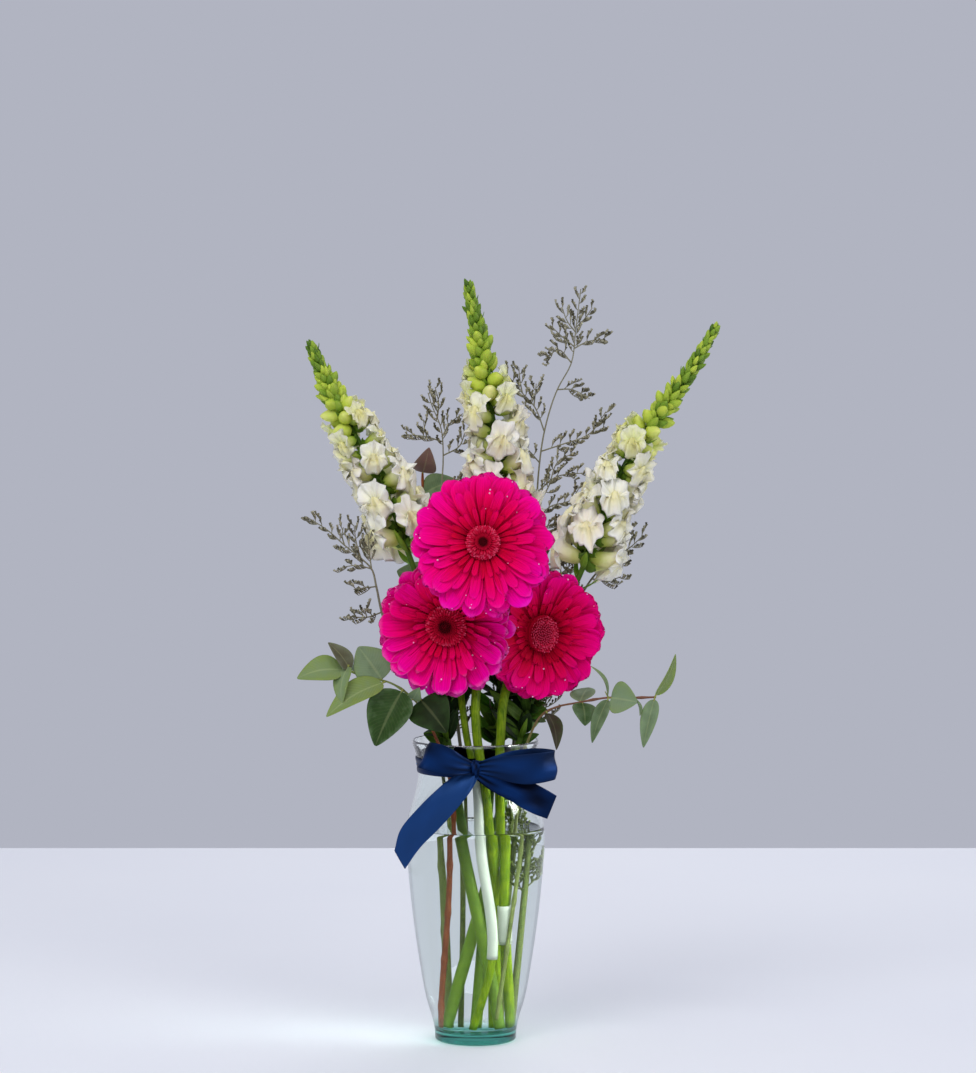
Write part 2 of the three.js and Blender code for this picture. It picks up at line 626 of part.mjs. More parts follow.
/** Outside radius of the glass at a height. */
function glassRadius(height) {
  const i = outside.findIndex(([, top]) => top >= height);
  const [[lowRadius, low], [highRadius, high]] = [outside[i - 1], outside[i]];
  return lerp(lowRadius, highRadius, (height - low) / (high - low));
}

// Stations of the bow's strips: [x, y, z of the middle, then the half width as x, y, z].
const knot = v3(0, -55.5, 239);
const leftLoop = [
  [0, -57, 239, 0, 0, 4], [-12, -63, 242, 0.5, 0, 8.5], [-28, -66, 247, 3.5, 0, 11.5],
  [-41, -62, 250, 5.5, 0, 10.5], [-43, -57.5, 250, 5.5, 0, 10.5], [-30, -55.5, 247, 3.5, 0, 11],
  [-14, -56.5, 242, 1, 0, 8.5], [-2, -56, 239, 0, 0, 4.5],
];
const rightLoop = [
  [0, -57, 239, 0, 0, 4], [14, -63, 240, 0, 0, 8], [38, -68, 239, -1, 0, 12.3],
  [60, -66, 241, 0, 1, 12.4], [67, -60, 242, 0, 2, 11.8], [58, -55, 243, 0, 1, 12],
  [30, -56, 242, 0, 0, 11], [2, -56, 239, 0, 0, 4.5],
];
const leftTail = [
  [0, -56, 237, 3.5, 0, -4], [-10.8, -60, 227, 8.5, -3, -4.5], [-24.2, -60, 213, 9.4, -4, -6.5],
  [-38.8, -56, 197, 10, -4, -6.8], [-54.6, -50, 178, 8.5, -4, -6.5], [-63.5, -44, 160, 4.5, -2, -7.5],
];
const rightTail = [
  [0, -56, 237, 3, 0, 5], [14, -60, 231, 5, 0, 8], [36, -62, 221, 6, 1, 9.5],
  [52, -60, 212, 5.5, 2, 10], [64, -57, 206, 4, 2, 9.5],
];

function strip(rows) {
  const stations = rows.map(([x, y, z, ax, ay, az]) => ({ at: v3(x, y, z), across: v3(ax, ay, az) }));
  return blade(stations, RIBBON_THICKNESS);
}

function ribbonBow() {
  const heights = [BAND_HEIGHT - GATHERED / 2, BAND_HEIGHT, BAND_HEIGHT + GATHERED / 2];
  const against = heights.map((height) => [glassRadius(height) + CLEARANCE, height]);
  const outer = against.map(([radius, height]) => [radius + RIBBON_THICKNESS, height]).toReversed();
  const band = turned([...against, ...outer, against[0]].toReversed());
  const knotBall = new THREE.SphereGeometry(1, 8, 5).scale(7.5, 5.5, 8).translate(...knot.toArray());
  return fuse([band, solidOf(knotBall), ...[leftLoop, rightLoop, leftTail, rightTail].map(strip)]);
}

// ---------------------------------------------------------------- the bunch in its vase

THREE.MathUtils.seededRandom(11);

const bouquet = new THREE.Group();
const holes = [];
const stand = (name, solid, material, route, radii, sides) => {
  bouquet.add(meshOf(name, solid, material));
  if (route) holes.push(tube(route, radii.map((radius) => radius + CLEARANCE), sides));
};

gerberas.forEach((head, i) => {
  const { route, radii } = gerberaStemLine(head);
  const name = `gerbera_${i + 1}`;
  stand(`${name}_petals`, gerberaPetals(head), finishes.petal);
  stand(`${name}_disc`, gerberaDisc(head), finishes.disc);
  stand(`${name}_stem`, tube(route, radii), finishes.stem, route, radii);
  if (head.straw) {
    const piece = stretch(route, head.straw);
    const bore = piece.map(() => head.stem + CLEARANCE + STRAW_WALL);
    stand(`${name}_straw`, straw(head), finishes.straw, piece, bore);
  }
});

snapdragons.forEach((flower, i) => {
  const { route, radii } = spikeLine(flower);
  const wet = route.slice(0, flower.foot.length);
  stand(`snapdragon_${i + 1}_stem`, snapdragonStem(flower), finishes.spike, wet, radii);
  stand(`snapdragon_${i + 1}_florets`, snapdragonFlorets(flower), finishes.floret);
});

limoniums.forEach((spray, i) => {
  const wet = points(spray.stem.slice(0, 5));
  stand(`limonium_${i + 1}`, limonium(spray), finishes.twig, wet, wet.map(() => spray.thick), 4);
});

Object.entries(eucalyptuses).forEach(([place, branch]) => {
  const wet = points(branch.stem.slice(0, 4));
  stand(`eucalyptus_${place}`, eucalyptus(branch), finishes.leaf, wet, wet.map(() => branch.thick));
});

stand('ribbon_bow', ribbonBow(), finishes.ribbon);
stand('water', fuse([holes.reduce((rest, hole) => rest.subtract(hole), fullWater)]), finishes.water);
stand('vase', vase, finishes.glass);

export default bouquet;
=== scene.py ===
# Three gerberas with snapdragons, sea lavender and eucalyptus in a glass vase of water, with a satin
# bow tied round the vase's neck. Metres, +Z up; the bunch faces -Y, and the origin is the middle of
# the vase's underside. Sizes below are in millimetres, and each mesh is made in metres.
import math

import bpy
import numpy as np
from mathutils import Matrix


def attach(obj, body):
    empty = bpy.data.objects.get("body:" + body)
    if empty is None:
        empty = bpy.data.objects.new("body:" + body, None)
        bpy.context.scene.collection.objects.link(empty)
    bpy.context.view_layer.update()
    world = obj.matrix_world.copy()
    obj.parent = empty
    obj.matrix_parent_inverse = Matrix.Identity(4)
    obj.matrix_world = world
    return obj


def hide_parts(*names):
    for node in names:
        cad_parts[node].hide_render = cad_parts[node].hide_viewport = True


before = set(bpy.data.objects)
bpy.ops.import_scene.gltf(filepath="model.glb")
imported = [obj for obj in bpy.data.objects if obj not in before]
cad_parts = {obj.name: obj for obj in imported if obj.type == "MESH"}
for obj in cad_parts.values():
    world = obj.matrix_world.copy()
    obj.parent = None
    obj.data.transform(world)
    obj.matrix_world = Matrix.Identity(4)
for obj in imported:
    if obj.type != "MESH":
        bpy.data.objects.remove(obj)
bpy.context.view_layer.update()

# ---------------------------------------------------------------- table, light and camera
# A white table top that ends behind the vase, with open pale grey-blue space past it. Large soft
# lights stand high in front to the left and right, and high behind. A narrow oval one on the right
# shows only in reflections and through glass, and a dim card stands low behind.


class Socket:
    """One output in a material's nodes. Arithmetic on it adds Math nodes, a number on either side."""

    def __init__(self, tree, output=None):
        self.tree = tree
        self.output = output

    def node(self, kind, settings=None, inputs=None, output=0):
        """A new node of the kind: first its settings, a ramp's stops among them, then its sockets. A
        colour may be given as its code."""
        made = self.tree.nodes.new("ShaderNode" + kind)
        for name, value in (settings or {}).items():
            if name == "stops":
                stops = made.color_ramp.elements
                stops[0].position, stops[1].position = value[0][0], value[-1][0]
                for place, _ in value[1:-1]:
                    stops.new(place)
                for stop, (_, code) in zip(stops, value):
                    stop.color = colour(code)
            else:
                setattr(made, name, value)
        for name, value in (inputs or {}).items():
            if isinstance(value, Socket):
                self.tree.links.new(value.output, made.inputs[name])
            else:
                made.inputs[name].default_value = colour(value) if isinstance(value, str) else value
        return Socket(self.tree, made.outputs[output] if made.outputs else None)

    def math(self, operation, *values):
        """A Math node of the operation."""
        return self.node("Math", {"operation": operation}, dict(enumerate(values)))

    def __add__(self, other):
        return self.math("ADD", self, other)

    def __radd__(self, other):
        return self.math("ADD", other, self)

    def __sub__(self, other):
        return self.math("SUBTRACT", self, other)

    def __rsub__(self, other):
        return self.math("SUBTRACT", other, self)

    def __mul__(self, other):
        return self.math("MULTIPLY", self, other)

    def __rmul__(self, other):
        return self.math("MULTIPLY", other, self)


def blank_finish(name):
    """A material without nodes, and the start from which its nodes are made."""
    material = bpy.data.materials.new(name)
    material.use_nodes = True
    material.node_tree.nodes.clear()
    return material, Socket(material.node_tree)


def colour(code):
    """A colour written as on a screen, such as e8077c, as the linear light that it sends back."""
    shown = np.array([int(code[i:i + 2], 16) for i in (0, 2, 4)]) / 255
    light = np.where(shown <= 0.04045, shown / 12.92, ((shown + 0.055) / 1.055) ** 2.4)
    return (*light.tolist(), 1.0)


def blend(factor, low, high):
    """The colour that goes from low to high as factor goes from 0 to 1."""
    return factor.node("Mix", {"data_type": "RGBA"}, {0: factor, 6: low, 7: high}, output=2)


def noise(start, scale, detail=3.0, place=None):
    """Cloudy noise between 0 and 1, with scale clouds to the metre, or to the unit of a given place."""
    place = place or start.node("TexCoord", output="Object")
    return start.node("TexNoise", inputs={"Vector": place, "Scale": scale, "Detail": detail})


def surface(start, base, roughness, specular=0.5, scatter=None, bump=None, metallic=0.0):
    """Ends a material with an opaque surface. scatter holds the weight, the reach of red, green and
    blue, and the scale of the light under it; bump the strength, depth and height of its relief."""
    looks = {"Base Color": base, "Roughness": roughness, "Specular IOR Level": specular,
             "Metallic": metallic}
    if scatter:
        looks.update(zip(("Subsurface Weight", "Subsurface Radius", "Subsurface Scale"), scatter))
    if bump:
        looks["Normal"] = start.node("Bump", inputs=dict(zip(("Strength", "Distance", "Height"), bump)))
    start.node("OutputMaterial", inputs={"Surface": start.node("BsdfPrincipled", inputs=looks)})


TABLE_SIDE, TABLE_BACK, TABLE_TOP = 4.0, 1.183, -0.0002
table_mesh = bpy.data.meshes.new("table")
table_mesh.from_pydata(
    [(-TABLE_SIDE, -TABLE_SIDE, TABLE_TOP), (TABLE_SIDE, -TABLE_SIDE, TABLE_TOP),
     (TABLE_SIDE, TABLE_BACK, TABLE_TOP), (-TABLE_SIDE, TABLE_BACK, TABLE_TOP)], [], [(0, 1, 2, 3)])
table = bpy.data.objects.new("table", table_mesh)
bpy.context.scene.collection.objects.link(table)
table_finish, start = blank_finish("table_white")
surface(start, blend(noise(start, 1.3), "e7e9f0", "f1f2f5"), 0.7, specular=0.06)
table_mesh.materials.append(table_finish)

world = bpy.data.worlds.new("studio")
world.use_nodes = True
backdrop = world.node_tree.nodes["Background"].inputs
backdrop["Color"].default_value = colour("b1b4c1")
backdrop["Strength"].default_value = 1.0
bpy.context.scene.world = world
bpy.context.scene.view_settings.view_transform = "Standard"


def soft_light(name, place, aim, size, watts):
    """A rectangular soft light at a place, turned to face a point."""
    lamp = bpy.data.lights.new(name, "AREA")
    lamp.shape = "RECTANGLE"
    lamp.size, lamp.size_y = size
    lamp.energy = watts
    light = bpy.data.objects.new(name, lamp)
    light.location = place
    away = np.array(place) - np.array(aim)
    level = math.hypot(away[0], away[1])
    light.rotation_euler = (math.atan2(level, away[2]), 0, math.atan2(away[0], -away[1]))
    light.visible_camera = False
    bpy.context.scene.collection.objects.link(light)
    return light


soft_light("key", (-0.9, -1.9, 2.3), (0, 0, 0.4), (1.5, 1.2), 31)
soft_light("fill", (1.1, -1.9, 1.8), (0, 0, 0.3), (0.9, 0.8), 10)
window = soft_light("window", (1.39, -0.4, 0.75), (0, 0, 0.3), (0.9, 0.13), 18)
window.data.shape = "ELLIPSE"
window.visible_diffuse = False
soft_light("rim", (0.5, 1.5, 1.9), (0, 0, 0.4), (1.6, 1.0), 14)
soft_light("low card", (0, 1.45, 0.1), (0, 0, 0.1), (3.2, 0.5), 0.7)

EYE_PLACE = (0.0106, -3.145, 0.6)
EYE_DROP = 3.107  # degrees below level
camera = bpy.data.cameras.new("camera")
camera.sensor_width = 36
camera.lens = 124.8
camera.clip_end = 20
viewer = bpy.data.objects.new("camera", camera)
viewer.location = EYE_PLACE
viewer.rotation_euler = (math.radians(90 - EYE_DROP), 0, 0)
bpy.context.scene.collection.objects.link(viewer)
bpy.context.scene.camera = viewer

# ---------------------------------------------------------------- vase
# Pressed clear glass: a flared rim, a narrow neck, a wide shoulder and a body that tapers to a thick
# bottom. The glass is nearly colourless where it is 3 mm thick and sea green through its bottom.

GLASS_WALL = 3.0
# Outside of the glass from the foot to the rim: radius and height.
glass_side = np.array([
    [34.6, 2.2], [34.9, 9], [37.2, 20], [41.7, 35], [48, 69], [53.9, 111], [57.6, 148], [59, 172],
    [57.4, 190], [50.8, 214], [48.5, 229], [50.2, 243], [54, 255.5]])
glass_bottom = [[29, 9.5], [31.6, 12], [34, 20]]


def flow(points, count):
    """A smooth line through the points, read at even steps of length.

    Between two points it is the cubic whose slope at each is that of the line that joins its two
    neighbours. Columns past the third, such as a radius, are carried along.
    """
    points = np.asarray(points, float)
    gaps = np.linalg.norm(np.diff(points[:, :3], axis=0), axis=1)
    knots = np.concatenate([[0], np.cumsum(gaps)])
    slopes = np.gradient(points, knots, axis=0)
    at = np.linspace(0, knots[-1], count)
    i = np.clip(np.searchsorted(knots, at, side="right") - 1, 0, len(gaps) - 1)
    gap = gaps[i][:, None]
    u = (at - knots[i])[:, None] / gap
    return ((2 * u ** 3 - 3 * u ** 2 + 1) * points[i] + (u ** 3 - 2 * u ** 2 + u) * gap * slopes[i]
            + (3 * u ** 2 - 2 * u ** 3) * points[i + 1] + (u ** 3 - u ** 2) * gap * slopes[i + 1])


def circle(points):
    """The angles of a full turn in even steps."""
    return np.linspace(0, 2 * np.pi, points, endpoint=False)


def xyz(x, y, z):
    """Points from their three measures, each a number or an array."""
    return np.stack(np.broadcast_arrays(x, y, z), -1)


def turned(profile, points=96):
    """Rings about +Z: each [radius, height] of the profile, carried round a full turn."""
    around = circle(points)
    radius, height = np.asarray(profile, float).T[..., None]
    return xyz(radius * np.cos(around), radius * np.sin(around), height)[None]


def skin(name, bodies, material, stands_for):
    """One piece made of closed bodies, with its material and the CAD nodes it stands for.

    Each entry of bodies holds rings, an array of bodies x rings x points x 3 in millimetres, and
    notes, numbers for the material by name. A ring goes anticlockwise about the way to the next one;
    neighbours are joined by four-sided faces, and a fan round its middle closes each end.
    """
    places, quads, fans = [], [], []
    notes = {key: [] for _, note in bodies for key in note}
    first = 0
    for rings, note in bodies:
        count, along, points, _ = rings.shape
        whole = along * points + 2
        places.append(np.concatenate(
            [rings.reshape(count, -1, 3), rings[:, [0, -1]].mean(2)], 1).reshape(-1, 3))
        origin = first + np.arange(count)[:, None] * whole
        number = origin[..., None] + np.arange(along * points).reshape(along, points)
        beside = np.roll(number, -1, 2)
        quads.append(np.stack(
            [number[:, :-1], beside[:, :-1], beside[:, 1:], number[:, 1:]], -1).reshape(-1, 4))
        middle = np.broadcast_to(origin + along * points, (count, points))
        fans.append(np.stack([middle, beside[:, 0], number[:, 0]], -1).reshape(-1, 3))
        fans.append(np.stack([middle + 1, number[:, -1], beside[:, -1]], -1).reshape(-1, 3))
        for key, kept in notes.items():
            field = np.broadcast_to(np.asarray(note.get(key, 0.0), float), (count, along, points))
            kept.append(np.concatenate(
                [field.reshape(count, -1), field[:, [0, -1]].mean(2)], 1).ravel())
        first += count * whole
    quads, fans = np.concatenate(quads), np.concatenate(fans)
    mesh = bpy.data.meshes.new(name)
    mesh.vertices.add(first)
    mesh.vertices.foreach_set("co", (np.concatenate(places) / 1000).ravel())
    mesh.loops.add(quads.size + fans.size)
    mesh.loops.foreach_set("vertex_index", np.concatenate([quads.ravel(), fans.ravel()]))
    mesh.polygons.add(len(quads) + len(fans))
    mesh.polygons.foreach_set("loop_start", np.concatenate(
        [4 * np.arange(len(quads)), quads.size + 3 * np.arange(len(fans))]))
    mesh.update(calc_edges=True)
    mesh.shade_smooth()
    for key, kept in notes.items():
        mesh.attributes.new(key, "FLOAT", "POINT").data.foreach_set("value", np.concatenate(kept))
    mesh.materials.append(material)
    piece = bpy.data.objects.new(name, mesh)
    bpy.context.scene.collection.objects.link(piece)
    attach(piece, "root")
    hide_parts(*stands_for)
    return piece


def ramp(value, *stops):
    """The colour at a value between stops, each a value and a colour's code."""
    return value.node("ValToRGB", {"stops": stops}, {0: value}, output="Color")


def rescale(value, low, high, first=0.0, last=1.0, kind="SMOOTHSTEP"):
    """A number that goes from first to last as the value goes from low to high, by an S-shaped rise
    or by a LINEAR one."""
    return value.node("MapRange", {"interpolation_type": kind},
                      {0: value, 1: low, 2: high, 3: first, 4: last})


def clear_surface(start, shade, looks, **volume):
    """Ends a clear material. Light from a lamp passes it straight, in the given shade."""
    bent = start.node("BsdfPrincipled", inputs={"Roughness": 0.0, "Transmission Weight": 1.0, **looks})
    straight = start.node("BsdfTransparent", inputs={"Color": shade})
    lamp_ray = start.node("LightPath", output="Is Shadow Ray")
    mixed = start.node("MixShader", inputs={0: lamp_ray, 1: bent, 2: straight})
    start.node("OutputMaterial", inputs={"Surface": mixed, **volume})


GREEN_TO = 0.022  # height in metres to which the thick bottom tints the glass
LIP_FROM, LIP_TO = 0.2535, 0.2555  # heights in metres between which the lip's bright coat begins
glass_finish, start = blank_finish("sea_green_glass")
height = start.node("SeparateXYZ", inputs={0: start.node("TexCoord", output="Object")}, output="Z")
clear_surface(start, "f4f9f7", {
    "Base Color": ramp(height * (1 / GREEN_TO), (0.0, "4b9c8d"), (0.4, "66b1a4"), (0.62, "d2ece5"),
                       (1.0, "fbfefd")),
    "IOR": 1.5,
    "Specular Tint": (0.22, 0.22, 0.22, 1),
    "Coat Weight": rescale(height, LIP_FROM, LIP_TO),
    "Coat IOR": 2.0,
    "Coat Roughness": 0.0,
}, Volume=start.node("VolumeAbsorption", inputs={"Color": (0.3, 0.85, 0.78, 1), "Density": 6.0}))

glass_outside = flow(glass_side, 120)
inner_side = flow(np.concatenate([
    glass_bottom, glass_side[3:-1] - [GLASS_WALL, 0], glass_side[-1:] - [1.8, 0]]), 110)
foot = [[4, 2.2], [16, 1.9], [26, 0.7], [29.5, 0.1], [31.5, 0], [33.2, 0.5], [34.2, 1.3]]
rim = [[53.9, 256.3], [53.6, 256.8], [53.1, 257], [52.7, 256.9], [52.3, 256.3]]
floor = [[27, 9.2], [22, 9.4], [12, 9.7], [3, 9.8]]
vase_rings = turned(np.concatenate([foot, glass_outside, rim, inner_side[::-1], floor]), 192)
skin("glass_vase", [(vase_rings, {})], glass_finish, ["vase"])

# ---------------------------------------------------------------- water
# Clear water up to a little above the widest part of the vase, its edge drawn up a little by the glass.
# It reaches a hair into the glass, so that no film of air shows between them.

WATER_LEVEL, INTO_GLASS = 181.5, 0.6
water_finish, start = blank_finish("clear_water")
clear_surface(start, "f6faf8", {
    "Base Color": (0.985, 0.995, 0.992, 1),
    "IOR": 1.333,
    "Specular Tint": (0.04, 0.04, 0.04, 1),
})

wet_side = inner_side[inner_side[:, 1] < WATER_LEVEL] + [INTO_GLASS, 0]
surface_from_wall = np.array([0, 0.6, 1.4, 2.6, 5, 12, 25, 40, 52])
wall_radius = np.interp(WATER_LEVEL, inner_side[:, 1], inner_side[:, 0]) + INTO_GLASS
meniscus = np.stack([wall_radius - surface_from_wall,
                     WATER_LEVEL + 1.8 * np.exp(-surface_from_wall / 1.5) - 0.8], 1)
water_rings = turned(np.concatenate([[[4, 9.2], [20, 8.8], [27, 8.8]], wet_side, meniscus]))
skin("water_fill", [(water_rings, {})], water_finish, ["water"])

# ---------------------------------------------------------------- gerberas
# Three large double gerberas. Each head is one bloom: rows of strap-shaped hot-pink ray petals, a
# ring of tiny tubular florets and a packed centre, on a leafless stem that ends in a green cup of
# bracts. The heads lean on each other, the upper one in front.

HEAD_SEED = 40
RECEPTACLE = 10  # depth of the receptacle that carries the rays
STRAW_ROOM = 1.05  # from a stem's side to the outside of its straw

# Each head: its centre, turn and pitch in degrees, the reach and the cup angle of its rays, the radius
# of its disc, of the disc's dark middle and of its stem, the heights of its straw, how far its colours
# shift outwards, how pale the edges of its rays are, and the path of its stem up to the head.
gerberas = [
    dict(centre=(6.5, -82, 429), turn=0, pitch=9, reach=59, cup=6, disc=14.5, dark=6.4,
         stem=3.9, straw=None, rosier=1.5, frost=0.1,
         foot=[(11, 13, 13), (12, -4, 120), (12, -22, 175), (7, -29, 226), (2, -30, 256),
               (0, -24, 288), (3, -13, 318), (5, -10, 350), (6, -14, 380), (6.5, -32, 405)]),
    dict(centre=(-24.8, -38, 356), turn=-12, pitch=-14, reach=61, cup=25, disc=18, dark=9.4,
         stem=3.0, straw=(73, 238), rosier=4, frost=0.5,
         foot=[(-2, -13, 13), (12, -24, 73), (3.5, -31, 175), (0.5, -24, 226), (-6.5, -20, 256),
               (-13, -10, 300), (-19, -1, 335), (-23, 2, 355)]),
    dict(centre=(57, -16, 348), turn=18, pitch=-4, reach=55, cup=17, disc=16.5, dark=0,
         stem=3.9, straw=(84, 122), rosier=-1, frost=0.1,
         foot=[(24, -4, 13), (20, -14, 120), (21, -18, 175), (20, -22, 226), (21, -22, 256),
               (24, -16, 293), (33, -2, 322), (41, 7, 340)]),
]
# Rows of rays from the back to the front: rays, share of the reach, widest, root height, extra lift
# and droop in degrees.
ray_rows = [(18, 1.0, 21.0, -8.6, 0, 15), (17, 0.98, 20.0, -7.4, 3, 19), (16, 0.94, 15.0, -6.4, 6, 20),
            (21, 0.78, 8.5, -5.5, 9, 18), (25, 0.52, 4.6, -4.8, 18, 16)]


def head_axes(turn, pitch):
    """The way right, up and out of a head that is turned about the upright and then tipped."""
    yaw, tip = math.radians(turn), math.radians(pitch)
    facing = np.array([math.sin(yaw) * math.cos(tip), -math.cos(yaw) * math.cos(tip), math.sin(tip)])
    right = np.array([math.cos(yaw), math.sin(yaw), 0])
    return np.stack([right, np.cross(facing, right), facing])


def smooth(x, low, high):
    """0 below low, 1 above high, and an S-shaped rise between."""
    u = np.clip((x - low) / (high - low), 0, 1)
    return u * u * (3 - 2 * u)


def golden(count):
    """Angles that each lie one golden angle on from the one before."""
    return np.arange(count) * (math.pi * (3 - math.sqrt(5)))


def swung(x, y, angle):
    """x and y turned anticlockwise by an angle."""
    return x * np.cos(angle) - y * np.sin(angle), x * np.sin(angle) + y * np.cos(angle)


def straps(rng, count, length, width, root, height, lift, droop, thick=0.7, along=16, around=20,
           relief=1.0, offset=0.0):
    """Strap-shaped petals that stand round a head's axis.

    A petal's middle line leaves the root circle at the lift angle, and its slope falls by the droop
    towards the tip. Across it, the section is a flat oval bent as the square of the way across, with
    two grooves shaped as bell curves and edges that wave as sines of the length. It is rolled so that
    one edge lies over the next petal. The tip is a rounded arch with up to two shallow notches.
    """
    u = np.linspace(0, 1, along)[None, :, None]
    share = 1 - (1 - u) ** 1.45
    turn = circle(around)
    across, face = np.cos(turn), np.sin(turn)
    draw = lambda spread: rng.uniform(-spread, spread, (count, 1, 1))
    angle = (2 * np.pi * (np.arange(count) + offset) / count)[:, None, None] + draw(1.3 / count)
    size = length * (1 + draw(0.045)) * (1 + 0.07 * np.clip(-np.sin(angle), 0, 1))
    slope = np.radians(lift + draw(6)) - np.radians(droop + draw(11)) * share ** 1.8
    step = np.diff(share, axis=1, prepend=0)
    out = root + np.cumsum(np.cos(slope) * step, 1) * size
    rise = height + draw(0.5) + np.cumsum(np.sin(slope) * step, 1) * size
    tip = np.sqrt(np.clip(1 - (np.clip(share - 0.77, 0, 1) / 0.23) ** 2.3, 0.004, 1))
    half = width / 2 * (1 + draw(0.14)) * (0.36 + 0.64 * smooth(share, 0, 0.66)) * tip
    side = half * across
    notch = (1.7 + draw(1.2)) * np.sin(1.5 * np.pi * across + draw(0.8)) ** 2 * share ** 9
    grooves = np.exp(-((np.abs(across) - 0.36) / 0.15) ** 2)
    wave = np.sin(7 * share + 2 * np.pi * draw(0.5)) * across + 0.6 * np.sin(11 * share * across + draw(3))
    lifted = (thick / 2 * face + half * (0.1 + draw(0.2)) * across ** 2
              + relief * (0.7 * wave * share - 0.8 * grooves) * smooth(share, 0.04, 0.3) * tip)
    roll = np.radians(11 + draw(15)) * (1 - 0.3 * share)
    sway = draw(0.06) * size * share ** 2
    level = out - np.sin(slope) * (lifted + side * np.sin(roll)) - relief * notch
    proud = rise + np.cos(slope) * (lifted + side * np.sin(roll))
    beside = side * np.cos(roll) + sway
    rings = xyz(*swung(level, beside, angle), proud)
    return rings, dict(along=share, across=across, tint=rng.uniform(0, 1, (count, 1, 1)), face=face,
                       radial=out)


def placed(part, axes, centre):
    """A head's part, made about its own axis, carried to the head's place in the bunch."""
    rings, notes = part
    return rings @ axes + np.asarray(centre), notes


def studs(rng, count, inner, outer, height, radius, dome, tone):
    """Tiny closed florets that fill a ring of a head: stud k stands k golden angles round, and as far
    out as spreads them evenly. Each is a short spindle."""
    out = np.sqrt(inner ** 2 + (outer ** 2 - inner ** 2) * (np.arange(count) + 0.5) / count)[:, None, None]
    up = np.array([-0.4, 0.35, 0.75, 1.0])[None, :, None]
    wide = np.array([0.9, 1.0, 0.75, 0.25])[None, :, None] * radius
    turn = circle(6)
    level = out + wide * np.cos(turn) + 0.35 * (out / outer) * up * height
    rise = dome(out) + up * height * rng.uniform(0.8, 1.15, (count, 1, 1))
    spun = swung(level, wide * np.sin(turn), golden(count)[:, None, None])
    return xyz(*spun, rise), dict(along=up, radial=out / outer, tone=tone)


def beads(rng, rings, count, low, high):
    """Dew: small round drops on random spots of some petals' upper faces."""
    along, around = rings.shape[1:3]
    spot = rings[rng.integers(0, len(rings), count), rng.integers(along // 3, along, count),
                 rng.integers(1, around // 2, count)]
    down, turn = np.linspace(0.1, 0.9, 6)[:, None] * np.pi, circle(8)
    ball = xyz(np.sin(down) * np.cos(turn), np.sin(down) * np.sin(turn), -np.cos(down))
    return spot[:, None, None] + rng.uniform(low, high, (count, 1, 1, 1)) * ball


def reads(start, *names):
    """The numbers that a mesh holds under each name."""
    return [start.node("Attribute", {"attribute_name": name}, output="Fac") for name in names]


petal_finish, start = blank_finish("hot_pink_petal")
share, across, face, tint, radial, dew, frost = reads(
    start, "along", "across", "face", "tint", "radial", "dew", "frost")
by_radius = ramp(radial * (1 / 71) + 0.18 * (tint - 0.5), (0.14, "9c001c"), (0.3, "de0038"),
                 (0.46, "f40058"), (0.66, "ff0080"), (0.86, "ff009c"), (1.0, "f800b8"))
streaks = noise(start, 1.0, 2.0, start.node("CombineXYZ", inputs={
    0: across * 7.0 + tint * 40.0, 1: share * 1.1}))
veined = blend((streaks - 0.4) * 2.4 * (1.1 - 0.75 * share), by_radius, "a80028")
edge = rescale(across * across, 0.75, 1.0)
# Painted shade: each petal's sides turn deep red towards its root, where it lies under its neighbours.
painted_shade_between = blend(edge * (1.0 - 0.7 * share) * 0.7, veined, "90001c")
under = rescale(face, -0.1, -0.6, 0.0, 0.5, "LINEAR")
margin = start.math("MAXIMUM", edge * share, rescale(share, 0.9, 1.0))
outer = rescale(radial, 44.0, 62.0, 0.0, 0.5, "LINEAR")
frosted = blend(margin * frost * outer, blend(under, painted_shade_between, "9c003c"), "ff9ad2")
# The dew drops get a pale pink colour as a painted highlight for their glints, and a low roughness.
surface(start, blend(dew, frosted, "ffb4dc"), 0.6 - 0.5 * dew, 0.02,
        scatter=(0.15, (1.0, 0.02, 0.35), 0.005), bump=(0.6, 0.0005, streaks))

disc_finish, start = blank_finish("gerbera_centre")
tone, radial, share = reads(start, "tone", "radial", "along")
dark = ramp(radial, (0.0, "5e0a14"), (0.5, "480810"), (0.66, "b00a2a"), (1.0, "c81038"))
rosy = ramp(share, (0.0, "b4062e"), (0.6, "d80c40"), (1.0, "f0557c"))
surface(start, blend(tone, dark, rosy), 0.6, 0.03)

stem_finish, start = blank_finish("green_stem")
fresh, = reads(start, "fresh")
mottle = noise(start, 90.0)
length_streaks = noise(start, 1.0, 2.0, start.node("Mapping", inputs={
    "Vector": start.node("TexCoord", output="Object"), "Scale": (900.0, 900.0, 30.0)}))
streaky = (mottle + length_streaks - 1.0) * 1.6 + 0.5
green, light_green = blend(streaky, "34500a", "728a1a"), blend(streaky, "54780a", "98b01a")
# The stalk is darker green high up and lighter green low down.
surface(start, blend(fresh, green, light_green), 0.5, 0.06, bump=(0.35, 0.0005, length_streaks + mottle))

straw_finish, start = blank_finish("white_straw")
surface(start, blend(noise(start, 60.0), "c6ccbb", "dde2d2"), 0.3)


def unit(way):
    """Each way as a vector of length one."""
    return way / np.linalg.norm(way, axis=-1, keepdims=True)


def tube(path, radii, points=12):
    """Rings about a path or many: each is a circle square to the path, measured from the side that
    lies nearest to +Y. radii is a number for each step."""
    path = np.asarray(path, float)
    ahead = unit(np.gradient(path, axis=-2))
    side = unit(np.array([0.0, 1.0, 0.0]) - ahead[..., 1:2] * ahead)
    turn = circle(points)[:, None]
    ring = side[..., None, :] * np.cos(turn) + np.cross(ahead, side)[..., None, :] * np.sin(turn)
    rings = path[..., None, :] + np.asarray(radii, float)[..., None, None] * ring
    return rings if rings.ndim == 4 else rings[None]


